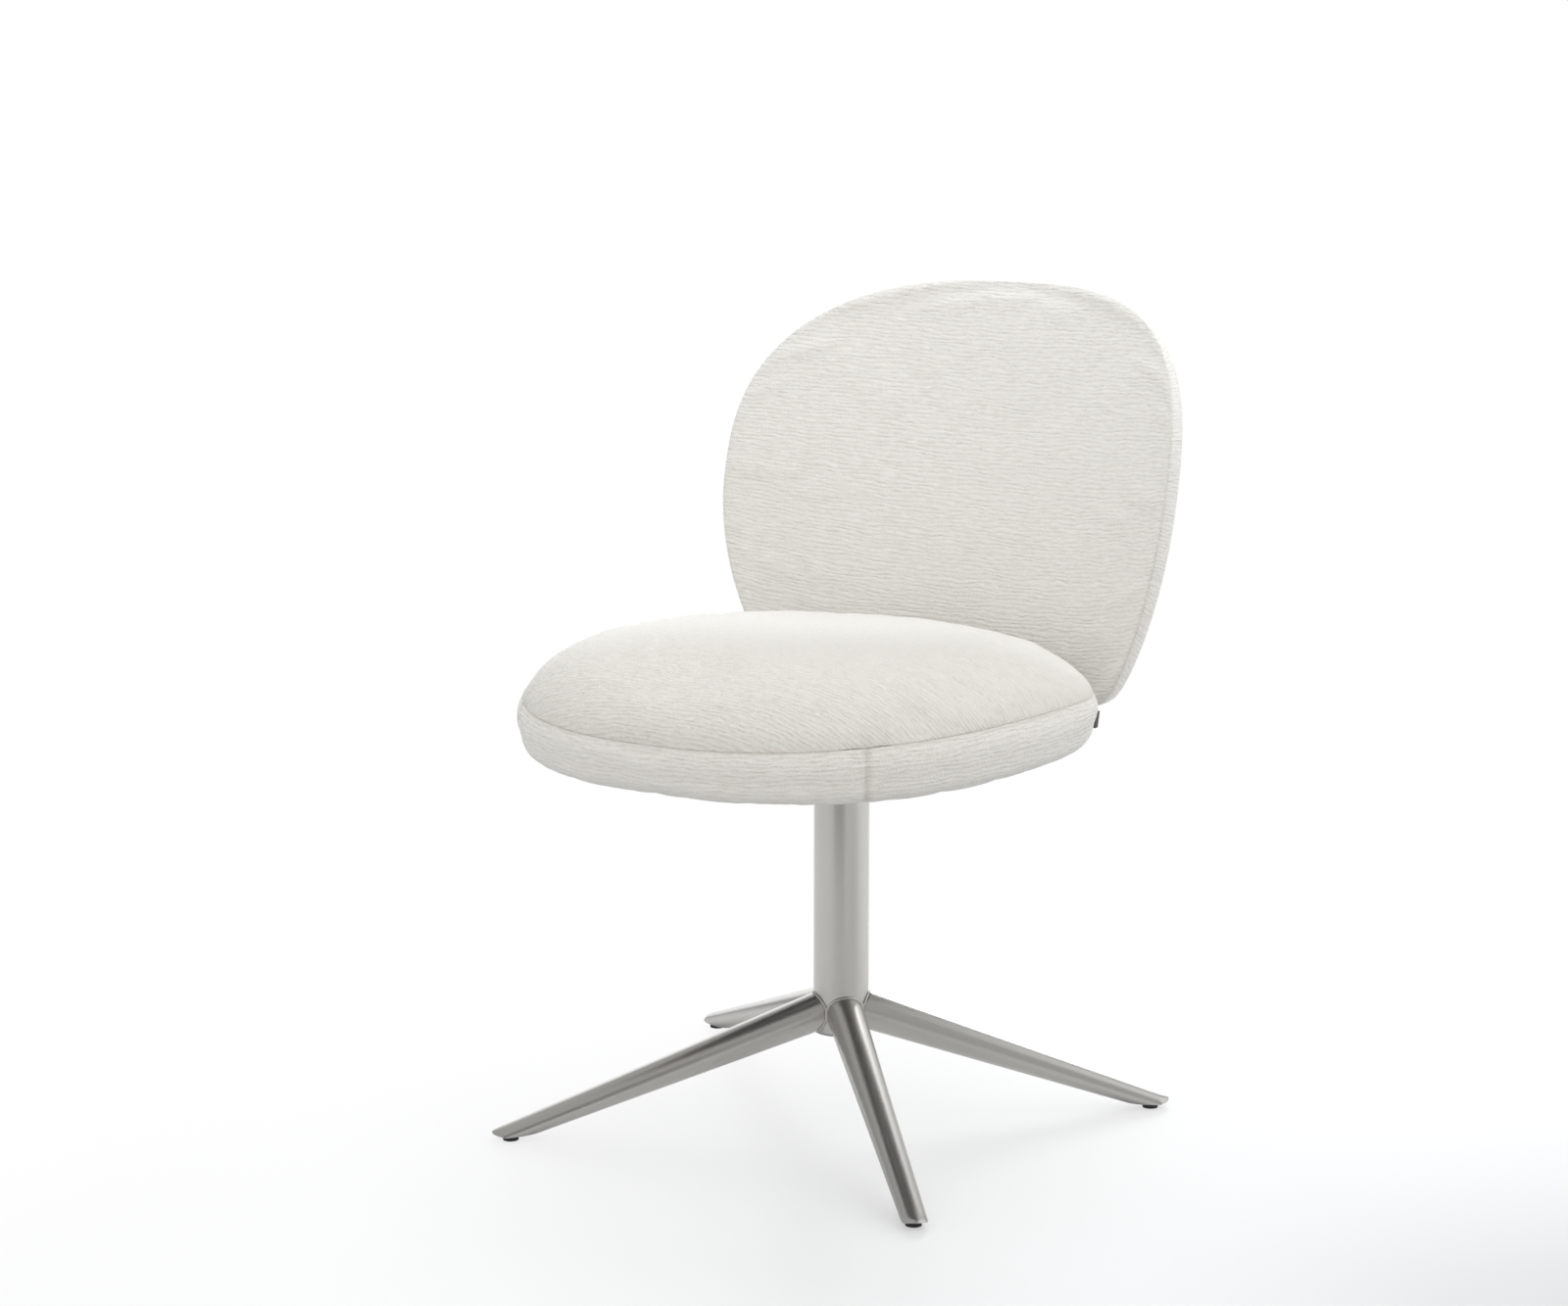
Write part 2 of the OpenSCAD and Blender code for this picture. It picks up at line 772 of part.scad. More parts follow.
module back_front_foam() {
    placed(foam) difference() {
        back_frame() intersection() {
            back_padding();
            wrap_layer(-wrap_r / 2, shell_in - soft_gap);
        }
        tab_room();
    }
}

// The rear pad lies on the shell and laps over its edge
module back_rear_foam() {
    placed(foam) back_frame() difference() {
        back_padding();
        wrap_layer(-wrap_r / 2, shell_in + facet_gap);
        intersection() {
            wrap_layer(0, shell_out + soft_gap);
            back_prism(shell_share + 0.006);
        }
    }
}

module back_front_cover() {
    shares = concat(pad_shares, [1]);
    outer = [for (share = shares) back_ring(share, 0, front_depth(share, 0) - seam_gap)];
    inner = [for (i = [len(shares) - 1:-1:0])
        back_ring(shares[i], cloth_t, front_depth(shares[i], cloth_t) - seam_gap)];
    placed(cloth) back_frame() pole_loft([0, -front_crown - seam_gap, back_mid],
        outer, inner, [0, -front_crown + cloth_t - seam_gap, back_mid]);
}

module back_rear_cover() {
    shares = concat(pad_shares, [0.985, 1]);
    inner = [for (share = shares)
        back_ring(share, cloth_t, rear_depth(share, cloth_t) + seam_gap)];
    outer = [for (i = [len(shares) - 1:-1:0])
        back_ring(shares[i], 0, rear_depth(shares[i], 0) + seam_gap)];
    placed(cloth) difference() {
        back_frame() pole_loft([0, rear_bulge - cloth_t + seam_gap, back_mid],
            inner, outer, [0, rear_bulge + seam_gap, back_mid]);
        tab_room();
    }
}

leg_front_left();
leg_front_right();
leg_rear_left();
leg_rear_right();
column_tube();
column_end_cap();
floor_glides();
upper_bush();
lower_bush();
thrust_washer();
spindle();
retaining_washer();
retaining_ring();
mounting_plate();
support_frame();
seat_bolts();
seat_spacers();
seat_tee_nuts();
seat_board();
seat_foam();
seat_top_cover();
seat_border();
dust_cover();
back_shell();
back_screws();
back_tee_nuts();
back_front_foam();
back_rear_foam();
back_front_cover();
back_rear_cover();
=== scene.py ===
import json
import math
from functools import partial

import bpy
import numpy as np
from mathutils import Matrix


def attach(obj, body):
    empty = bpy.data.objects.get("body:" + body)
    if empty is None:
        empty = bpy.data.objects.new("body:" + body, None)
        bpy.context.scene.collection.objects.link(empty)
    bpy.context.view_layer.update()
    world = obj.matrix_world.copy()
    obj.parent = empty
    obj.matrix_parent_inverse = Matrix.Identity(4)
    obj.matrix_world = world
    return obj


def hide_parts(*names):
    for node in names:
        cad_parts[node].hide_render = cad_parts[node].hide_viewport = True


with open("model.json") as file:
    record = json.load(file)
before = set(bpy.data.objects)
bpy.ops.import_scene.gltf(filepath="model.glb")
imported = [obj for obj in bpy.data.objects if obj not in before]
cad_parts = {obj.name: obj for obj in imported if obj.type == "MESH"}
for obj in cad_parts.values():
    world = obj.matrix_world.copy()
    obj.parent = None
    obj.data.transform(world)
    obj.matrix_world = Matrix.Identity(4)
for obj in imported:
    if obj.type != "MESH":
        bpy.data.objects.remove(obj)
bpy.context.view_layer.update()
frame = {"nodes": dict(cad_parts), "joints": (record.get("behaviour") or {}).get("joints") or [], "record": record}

bl_info = {
    "name": "Swivel Dining Chair",
    "version": (1, 0, 0),
    "blender": (4, 5, 0),
    "location": "View3D > Sidebar > Chair",
    "description": "Dresses the packed swivel chair in ribbed cloth and satin steel",
    "category": "Object",
}

MM = 0.001

# The chair turns about its column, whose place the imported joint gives
COLUMN_X, COLUMN_Y = frame["joints"][0]["pos_m"][:2]

# In millimetres
TUCK = 0.15            # how far two sewn edges press into each other
SETTLED = 3.0          # how far a pad starts below its measured form, before it swells
PUCKER_AWAY = 5        # from a seam to the middle of its puckers
PUCKER_REACH = 6       # how far the puckers reach from there
SEAM_WIDTH = 3         # how far a seam's shading reaches
PUCKER_GAP = 2.5       # how near a seam the puckers of the seat end
LINING_INSET = 61      # from the seat's outline to the lining's

HIDDEN_INSET = 3.6     # rim of a pad's hidden side, in rolls of the seam
RIM_CROWD = 0.3        # how much the quads crowd towards a pad's rim
# Painted shade laid into the cloth's colour along each seam, as far as SEAM_WIDTH reaches
SEAM_PAINTED_SHADE = 0.15       # shading of a seam, of 1
SETTLE_FRAMES = 20     # frames of the cloth simulation
SEAT_STRETCH = 0.006   # share by which the seat's cloth grows as it settles
BACK_STRETCH = 0.004   # the same for the back's
MERGE_DISTANCE = 2e-6  # in metres, at which a CAD node's loose points join
SHARP_EDGE = math.radians(30)

LAMP_TINT = (0.965, 0.985, 1.0)

SEAT_NODES = ("seat_top_cover", "seat_foam")
BACK_FRONT_NODES = ("back_front_cover", "back_front_foam")
BACK_REAR_NODES = ("back_rear_cover", "back_rear_foam")


# ---------------------------------------------------------------- sizes and colours

def length(text, value, low, high):
    """A length in metres that the sidebar shows in the scene's unit."""
    return partial(bpy.props.FloatProperty, description=text, default=value, min=low, max=high,
                   subtype="DISTANCE", unit="LENGTH", precision=4)


def angle(text, degrees, low, high):
    """An angle, given here in degrees."""
    value, low, high = np.radians((degrees, low, high)).tolist()
    return partial(bpy.props.FloatProperty, description=text, default=value, min=low, max=high,
                   subtype="ANGLE", unit="ROTATION")


def number(text, value, low, high):
    return partial(bpy.props.FloatProperty, description=text, default=value, min=low, max=high)


def count(text, value, low, high):
    return partial(bpy.props.IntProperty, description=text, default=value, min=low, max=high)


def colour(text, value):
    return partial(bpy.props.FloatVectorProperty, description=text, default=value, size=3,
                   min=0, max=1, subtype="COLOR")


def named(group):
    """Gives every property of a group its name, which is its key in plain writing."""
    for key, kind in group.__annotations__.items():
        group.__annotations__[key] = kind(name=key.replace("_", " ").capitalize())
    return group


@named
class ChairSeat(bpy.types.PropertyGroup):
    """Sizes of the seat's padding, from the construction model but for a deeper border."""
    width: length("Width at the seat's widest line", 0.519, 0.48, 0.56)
    forward: length("How far the widest line lies in front of the column", 0.0205, 0.01, 0.04)
    front: length("Depth in front of the widest line", 0.3255, 0.3, 0.34)
    rear: length("Depth behind the widest line", 0.2515, 0.23, 0.252)
    front_squareness: number("2 for an ellipse", 2.4, 2.0, 2.8)
    rear_squareness: number("2 for an ellipse", 1.9, 1.8, 2.2)
    seam_height: length("Height of the seam above the floor", 0.443, 0.42, 0.46)
    seam_wave: length("How far the seam rises and hangs round the seat", 0.0022, 0.0, 0.004)
    rear_fall: length("How much lower the seam lies behind", 0.0065, 0.0, 0.008)
    crown: length("Height of the crown above the seam", 0.0485, 0.04, 0.06)
    fall: length("How much higher the crown stands in front", 0.0145, 0.0, 0.02)
    border_height: length("Height of the border below the seam", 0.0565, 0.048, 0.06)
    border_radius: length("Radius of the border's lower edge", 0.0235, 0.016, 0.026)
    border_swell: length("How far the border swells beyond its seams", 0.0035, 0.0, 0.005)
    board_height: length("Height of the seat board's underside", 0.398, 0.39, 0.41)
    corner_seam: angle("Angle of the border's front seams from straight ahead", 37.0, 20.0, 60.0)


@named
class ChairBack(bpy.types.PropertyGroup):
    """Sizes of the back's padding, the same as the construction model's."""
    width: length("Greatest width of the back", 0.511, 0.46, 0.54)
    rise: length("Height of the top above the widest level", 0.228, 0.2, 0.26)
    drop: length("Half height of the ellipse of the lower sides", 0.318, 0.29, 0.36)
    squareness: number("Squareness of the upper corners", 2.55, 2.0, 3.0)
    wrap: length("Radius of the wrap round the sitter", 0.356, 0.33, 0.42)
    lean: angle("Lean from upright", 14.6, 8.0, 20.0)
    set_back: length("Distance of the front from the column at the seat's seam",
                     0.253, 0.25, 0.275)
    level: length("Height at which the set back is measured", 0.44, 0.42, 0.46)
    middle: length("Height of the widest level above that, along the lean", 0.15, 0.13, 0.17)
    lower_edge: length("Height of the lower edge above the floor", 0.395, 0.39, 0.41)
    crown: length("Crown of the front pad", 0.01, 0.006, 0.016)
    bulge: length("Bulge of the rear pad", 0.03, 0.026, 0.04)


@named
class ChairCloth(bpy.types.PropertyGroup):
    """The ribbed cloth and its sewing."""
    tint: colour("Colour of the yarn", (0.868, 0.856, 0.832))
    # Painted shade in the hollows between ribs
    shade: colour("Colour in the hollows between ribs", (0.755, 0.725, 0.66))
    # Painted shade: the colour laid along the seams, at the corner seams, low on the back and over the seat's
    # front left
    fold: colour("Colour laid over a fold and over brushed down pile", (0.62, 0.60, 0.56))
    rib: length("Distance between two ribs", 0.0046, 0.002, 0.01)
    relief: length("Depth of the ribs", 0.0028, 0.0, 0.003)
    seam_roll: length("How far the cloth rolls in at a seam", 0.001, 0.0005, 0.005)
    pucker: length("Depth of the puckers beside a seam", 0.0005, 0.0, 0.002)
    stitch: length("Distance between two puckers", 0.008, 0.004, 0.02)
    pressure: number("Pressure of the padding in the cloth simulation", 1.2, 0.0, 10.0)
    most_moved: length("Cap on how far the simulation moves the cloth", 0.005, 0.0, 0.03)
    across: count("Quads across a pad before it is refined", 88, 16, 120)


@named
class ChairBase(bpy.types.PropertyGroup):
    """Sizes of the column and legs, from the construction model but for fuller tips."""
    column: length("Radius of the column", 0.0275, 0.025, 0.03)
    column_low: length("Height of the column's lower end", 0.086, 0.07, 0.1)
    front_reach: length("From the column's axis to a front glide", 0.337, 0.3, 0.34)
    rear_reach: length("From the column's axis to a rear glide", 0.312, 0.28, 0.32)
    front_angle: angle("Front legs' angle from straight ahead", 42.3, 35, 50)
    rear_angle: angle("Rear legs' angle from straight behind", 56.4, 45, 60)
    overhang: length("How far a leg runs on past its glide", 0.0185, 0.015, 0.02)
    root_height: length("Height of a leg at the column", 0.04, 0.03, 0.05)
    root_width: length("Width of a leg at the column", 0.037, 0.03, 0.045)
    tip_height: length("Full height of the oval at the tip", 0.018, 0.012, 0.022)
    tip_width: length("Width of a leg at the tip", 0.0235, 0.018, 0.026)
    tip_top: length("Height of a leg's top line at the tip", 0.01, 0.008, 0.016)
    sink: length("How far the legs' roots hang below the column", 0.002, 0.0, 0.004)
    glide: length("Radius of a glide", 0.00775, 0.006, 0.01)
    glide_height: length("Height of a glide", 0.005, 0.003, 0.008)
    foot_rise: angle("Slope of a leg's underside past its glide", 15, 5, 25)


@named
class ChairSteel(bpy.types.PropertyGroup):
    """The steel finishes."""
    satin: colour("Colour of the satin stainless steel", (0.60, 0.585, 0.555))
    roughness: number("Roughness of the satin steel", 0.3, 0.1, 0.6)
    plated: colour("Colour of the zinc plated steel", (0.42, 0.42, 0.42))
    bead: length("Radius of the weld bead at a leg's root", 0.0016, 0.0005, 0.003)


@named
class ChairStudio(bpy.types.PropertyGroup):
    """The camera and the light."""
    lens: length("Focal length on a 36 mm frame", 0.07875, 0.02, 0.2)
    distance: length("Level distance of the camera from the column", 3.301, 1.0, 8.0)
    height: length("Height of the camera", 1.093, 0.0, 3.0)
    aside: length("How far the camera stands to the side", 0.057, -1.0, 1.0)
    azimuth: angle("Direction of the camera from straight ahead", 31.9, -180, 180)
    pitch: angle("How far the camera looks down", 10.74, -90, 90)
    floor: colour("Colour of the floor", (0.68, 0.68, 0.68))
    surround: number("Light that the surround gives", 1.15, 0.0, 2.0)
    facing: number("How much more light comes from the camera's side", 0.24, 0.0, 1.0)
    room: number("Brightness of the room mirrored in the steel", 0.5, 0.0, 2.0)
    overhead: number("Brightness of the soft box overhead", 3.0, 0.0, 10.0)
    backdrop: number("Brightness of the wide soft box behind", 0.9, 0.0, 10.0)
    side: number("Brightness of the soft box on the right", 0.6, 0.0, 10.0)
    low: number("Brightness of the soft box that throws the shadows", 4.5, 0.0, 20.0)


# ---------------------------------------------------------------- forms

def oval_radius(turn, a, b, squareness):
    """Distance from the middle to a superellipse: the n-th root of one over the sum of
    the n-th powers of cosine over half width and sine over half depth."""
    across = (np.abs(np.cos(turn)) / a) ** squareness
    along = (np.abs(np.sin(turn)) / b) ** squareness
    return (across + along) ** (-1 / squareness)


def disc(n):
    """A disc of n by n quads with no pole: each square ring of a grid becomes an oval
    ring, whose share is the square's half side and whose angle runs evenly along it."""
    line = np.linspace(-1, 1, n + 1)
    u, v = np.meshgrid(line, line, indexing="ij")
    share = np.maximum(np.abs(u), np.abs(v))
    wide = np.abs(u) >= np.abs(v)
    with np.errstate(divide="ignore", invalid="ignore"):
        near = np.where(wide, v / u, u / v)
    near = np.nan_to_num(near) * math.pi / 4
    x = np.where(wide, u * np.cos(near), v * np.sin(near))
    y = np.where(wide, u * np.sin(near), v * np.cos(near))
    return share.ravel(), np.arctan2(y, x).ravel()


def table(rows, columns):
    """Point numbers in rows and columns."""
    return np.arange(rows * columns).reshape(rows, columns)


def disc_faces(n):
    """The quads of the disc, facing the way that its outline turns."""
    number_of = table(n + 1, n + 1)
    return np.stack([number_of[:-1, :-1], number_of[1:, :-1], number_of[1:, 1:],
                     number_of[:-1, 1:]], axis=-1).reshape(-1, 4)


def disc_rim(n):
    """The disc's outline as point numbers, turning from +X towards +Y."""
    number_of = table(n + 1, n + 1)
    rim = np.concatenate([number_of[n, :-1], number_of[:0:-1, n], number_of[0, :0:-1],
                          number_of[:-1, 0]])
    return np.roll(rim, -(n // 2))


def strip(upper, lower):
    """The quads between two closed rings of point numbers, or between two lists of them,
    facing outwards."""
    return np.stack([upper, lower, np.roll(lower, -1, -1), np.roll(upper, -1, -1)],
                    axis=-1).reshape(-1, 4)


def tube_faces(upper, lower):
    """The same quads, each from its second point on, as a list."""
    return np.roll(strip(upper, lower), -1, 1).tolist()


def crowd(share, amount):
    """Moves the rings of a disc towards its rim, where the shape curves most."""
    return share + amount * np.sin(math.pi * share) / math.pi


def smooth_step(value):
    value = np.clip(value, 0, 1)
    return value ** 2 * (3 - 2 * value)


def run_of(points):
    """Length run along the first axis of an array of points."""
    steps = np.linalg.norm(np.diff(points, axis=0), axis=-1)
    return np.concatenate([np.zeros((1,) + steps.shape[1:]), np.cumsum(steps, axis=0)])


def pad_piece(name, surface, rolls, under, n, flip=False):
    """A closed pad: a disc whose points come from surface(share, angle), then one ring
    for each roll, a function of the angle, and a second disc, under(share, angle), that
    closes the hidden side. The pattern is the surface rolled out flat along its rays.
    Returns the piece and the numbers of the points that its sewing holds."""
    share, turn = disc(n)
    share, rim = crowd(share, RIM_CROWD), disc_rim(n)
    reach = run_of(surface(np.linspace(0, 1, 33)[:, None] * share, turn))[-1]
    sheets, faces = [(surface(share, turn), reach, turn)], [disc_faces(n)]
    last, total, here, used = sheets[0][0][rim], reach[rim], rim, len(share)
    for roll in rolls:
        new, numbers = roll(turn[rim]), used + np.arange(len(rim))
        total = total + np.linalg.norm(new - last, axis=-1)
        sheets.append((new, total, turn[rim]))
        faces.append(strip(here, numbers))
        last, here, used = new, numbers, used + len(rim)
    sheets.append((under(share, turn), share * total.mean(), turn))
    faces += [strip(here, rim + used), disc_faces(n)[:, ::-1] + used]
    points, reach, around = (np.concatenate(rows) for rows in zip(*sheets))
    quads = np.concatenate(faces)[:, ::-1 if flip else 1]
    pattern = reach[:, None] * np.stack([np.cos(around), np.sin(around)], axis=-1)
    piece = cloth_mesh(name, points, quads, pattern[quads.ravel()])
    return piece, np.concatenate([rim, np.arange(len(share), len(points))])


def new_piece(name, points, faces):
    """Puts points in millimetres about the column into a smooth piece in metres."""
    mesh = bpy.data.meshes.new(name)
    mesh.from_pydata(np.asarray(points) * MM + (COLUMN_X, COLUMN_Y, 0), [], faces)
    mesh.polygons.foreach_set("use_smooth", np.ones(len(mesh.polygons), bool))
    mesh.update()
    piece = bpy.data.objects.new(name, mesh)
    bpy.context.scene.collection.objects.link(piece)
    return piece


def cloth_mesh(name, points, quads, pattern):
    """A piece whose pattern gives each face's corners their place on the flat cloth, in
    millimetres here and in metres as the UV map."""
    piece = new_piece(name, points, quads.tolist())
    layer = piece.data.uv_layers.new(name="pattern")
    layer.data.foreach_set("uv", (pattern * MM).astype(np.float32).ravel())
    piece.data.validate()
    return piece


def point_array(mesh, what="co"):
    """The mesh's points, or their normals, as an array of three columns."""
    values = np.empty(len(mesh.vertices) * 3, np.float32)
    source = mesh.vertices if what == "co" else mesh.vertex_normals
    source.foreach_get("co" if what == "co" else "vector", values)
    return values.reshape(-1, 3).astype(float)


def about_column(piece):
    """A piece's points in millimetres about the column."""
    return point_array(piece.data) / MM - (COLUMN_X / MM, COLUMN_Y / MM, 0)


def set_points(mesh, points):
    mesh.vertices.foreach_set("co", points.astype(np.float32).ravel())
    mesh.update()


def settle(piece, held, stretch):
    """Pressure swells the skin between its seams, and the cap keeps it in its room.
    The sewn edges and the hidden side stay where they are."""
    cloth = bpy.context.scene.chair_cloth
    group = piece.vertex_groups.new(name="sewn")
    group.add(held.tolist(), 1.0, "REPLACE")
    before = point_array(piece.data)
    modifier = piece.modifiers.new("padding", "CLOTH")
    values = {"vertex_group_mass": "sewn", "quality": 5, "mass": 0.3, "tension_stiffness": 20,
              "compression_stiffness": 20, "shear_stiffness": 8, "bending_stiffness": 1.5,
              "use_pressure": True, "uniform_pressure_force": cloth.pressure,
              "shrink_min": -stretch}
    for key, value in values.items():
        setattr(modifier.settings, key, value)
    modifier.settings.effector_weights.gravity = 0
    modifier.collision_settings.use_collision = False
    scene = bpy.context.scene
    for step in range(1, SETTLE_FRAMES + 1):
        scene.frame_set(step)
    graph = bpy.context.evaluated_depsgraph_get()
    after = point_array(piece.evaluated_get(graph).data)
    piece.modifiers.remove(modifier)
    piece.vertex_groups.remove(group)
    scene.frame_set(1)
    moved = after - before
    far = np.linalg.norm(moved, axis=1, keepdims=True)
    cap = cloth.most_moved
    moved *= np.where(far > 0, cap * np.tanh(far / cap) / np.maximum(far, 1e-9), 0)
    set_points(piece.data, before + moved)


def refine(piece):
    """One round of subdivision, kept as the piece's own mesh."""
    modifier = piece.modifiers.new("refine", "SUBSURF")
    modifier.levels = modifier.render_levels = 1
    graph = bpy.context.evaluated_depsgraph_get()
    finer = bpy.data.meshes.new_from_object(piece.evaluated_get(graph))
    piece.modifiers.remove(modifier)
    old = piece.data
    piece.data = finer
    finer.name = piece.name
    bpy.data.meshes.remove(old)


def wear_cloth(piece, depth, fold):
    """Moves each point inwards along its normal by its own depth, in metres, and gives
    the piece the cloth's finish, which takes the painted shade at each point, from
    0 to 1. One finish serves every piece, because the ribs follow the piece's pattern."""
    mesh = piece.data
    set_points(mesh, point_array(mesh) - point_array(mesh, "normal") * depth[:, None])
    layer = mesh.attributes.new("fold", "FLOAT", "POINT")
    layer.data.foreach_set("value", np.clip(fold, 0, 1).astype(np.float32))
    name = "ribbed_cloth"
    mesh.materials.append(bpy.data.materials.get(name) or cloth_finish(name))


def painted_front_left_shade(points):
    """How much painted shade darkens the cloth towards the seat's front left:
    a smooth step across a slanting line, from points in millimetres."""
    most, start, width, way_x, way_y = 0.55, -60, 220, 0.55, -0.83
    along = way_x * points[:, 0] + way_y * points[:, 1]
    return most * smooth_step((along - start) / width)


def near_seam(distance, reach):
    return np.exp(-(distance / reach) ** 2)


def puckers(run, away):
    """How far a seam's stitches draw the cloth in beside it, in metres: one pucker for
    each stitch along the seam's run."""
    cloth = bpy.context.scene.chair_cloth
    wave = 0.5 + 0.5 * np.cos(2 * math.pi * run / (cloth.stitch / MM))
    return cloth.pucker * wave * near_seam(away - PUCKER_AWAY, PUCKER_REACH)


# ---------------------------------------------------------------- the seat's form

def seat_radius(turn, inset=0):
    """The seat's outline about its widest line: one superellipse in front of it and
    another behind it, both drawn in by the inset. In millimetres."""
    seat = bpy.context.scene.chair_seat
    half = seat.width / MM / 2 - inset
    front = oval_radius(turn, half, seat.front / MM - inset, seat.front_squareness)
    rear = oval_radius(turn, half, seat.rear / MM - inset, seat.rear_squareness)
    return np.where(np.sin(turn) < 0, front, rear)


def seat_point(turn, share, inset, z):
    seat = bpy.context.scene.chair_seat
    r = share * seat_radius(turn, inset)
    return np.stack([r * np.cos(turn), r * np.sin(turn) - seat.forward / MM,
                     z + 0 * r], axis=-1)


def seam_fall(turn):
    """How much lower the seam lies behind: a smooth step of the angle's sine."""
    seat = bpy.context.scene.chair_seat
    return seat.rear_fall / MM * smooth_step(np.sin(turn) / 0.6)


def seam_height(turn, fall=1):
    """The seam hangs in the middle of the front and rises towards the front corners:
    the wave times the cosine of twice the angle less the sine of three times it. The
    share fall of its drop behind comes off."""
    seat = bpy.context.scene.chair_seat
    wave = np.cos(2 * turn) - np.sin(3 * turn)
    return (seat.seam_height + seat.seam_wave * wave) / MM - fall * seam_fall(turn)


def seat_top(share, turn):
    """The crowned top: crown less fall times share and sine, times one less the share
    to a high power, all to a power just under one."""
    seat = bpy.context.scene.chair_seat
    high_power, low_power = 7.2, 0.87
    crown = (seat.crown - seat.fall * share * np.sin(turn)) / MM
    level = seat.seam_height / MM
    swell = np.maximum(1 - share ** high_power, 0) ** low_power
    z = crown * swell + level + (seam_height(turn, 0) - level) * share ** 2
    return seat_point(turn, share, 0, z - seam_fall(turn) * share ** 12)


def rolled_edge(outline, roll):
    """The rolls that take an edge in from its seam: a quarter circle of the roll's
    radius, then a level run inwards. outline(turn, inset, drop) gives the points."""
    bends = [(roll * (1 - math.cos(a)), roll * math.sin(a))
             for a in np.radians([22.5, 45, 67.5, 90])]
    return [lambda t, b=b: outline(t, *b) for b in [*bends, (3 * roll, roll)]]


def outline_run(turn, radius):
    """How far along an outline a direction lies, from fine steps of the outline."""
    turns = np.linspace(-math.pi, math.pi, 1441)
    r = radius(turns)
    points = np.stack([r * np.cos(turns), r * np.sin(turns)], axis=-1)
    return np.interp(turn, turns, run_of(points))


def corner_turns():
    """The directions of the two seams in the border's front."""
    turn = math.pi / 2 - bpy.context.scene.chair_seat.corner_seam
    return (-turn, turn - math.pi)


class CHAIR_OT_seat_top(bpy.types.Operator):
    """Makes the seat's top pad, crowned and sewn to the border"""
    bl_idname = "chair.seat_top"
    bl_label = "Seat top"

    def execute(self, context):
        seat, cloth = context.scene.chair_seat, context.scene.chair_cloth
        roll = cloth.seam_roll / MM

        def edge(turn, inset, drop):
            return seat_point(turn, 1, inset, seam_height(turn) - TUCK + roll - drop)

        def surface(share, turn):
            lifted = seat_top(share, turn)
            lifted[..., 2] += (roll - TUCK) * share ** 40 - SETTLED * (1 - share ** 6)
            return lifted

        def under(share, turn):
            level = seam_height(turn) * share + seat.seam_height / MM * (1 - share)
            return seat_point(turn, share, HIDDEN_INSET * roll * share, level - TUCK)

        piece, held = pad_piece("seat_top_pad", surface, rolled_edge(edge, roll), under,
                                cloth.across)
        settle(piece, held, SEAT_STRETCH)
        refine(piece)
        points = about_column(piece)
        turn = np.arctan2(points[:, 1] + seat.forward / MM, points[:, 0])
        rim = seat_point(turn, 1, 0, seam_height(turn))
        away = np.linalg.norm(points - rim, axis=1)
        outline = outline_run(turn, seat_radius)
        depth = puckers(outline, away) * (1 - near_seam(away, PUCKER_GAP))
        # Painted shade along the seam and over the seat's front left
        fold = SEAM_PAINTED_SHADE * near_seam(away, SEAM_WIDTH) + painted_front_left_shade(points)
        ray_depth, ray_away, ray_reach, ray_count = 0.0009, 15, 10, 8
        # Painted shade where each front corner seam meets the top seam
        dark, dark_reach = 0.2, 9
        for side in corner_turns():
            here = seat_point(side, 1, 0, seam_height(side))
            drawn = np.linalg.norm(points - here, axis=1)
            aside = outline - outline_run(np.array(side), seat_radius)
            rays = 0.5 + 0.5 * np.cos(ray_count * np.arctan2(points[:, 2] - here[2], aside))
            depth += ray_depth * rays * near_seam(drawn - ray_away, ray_reach)
            fold += dark * near_seam(drawn, dark_reach)
        wear_cloth(piece, depth, fold)
        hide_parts(*SEAT_NODES)
        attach(piece, "seat")
        return {"FINISHED"}


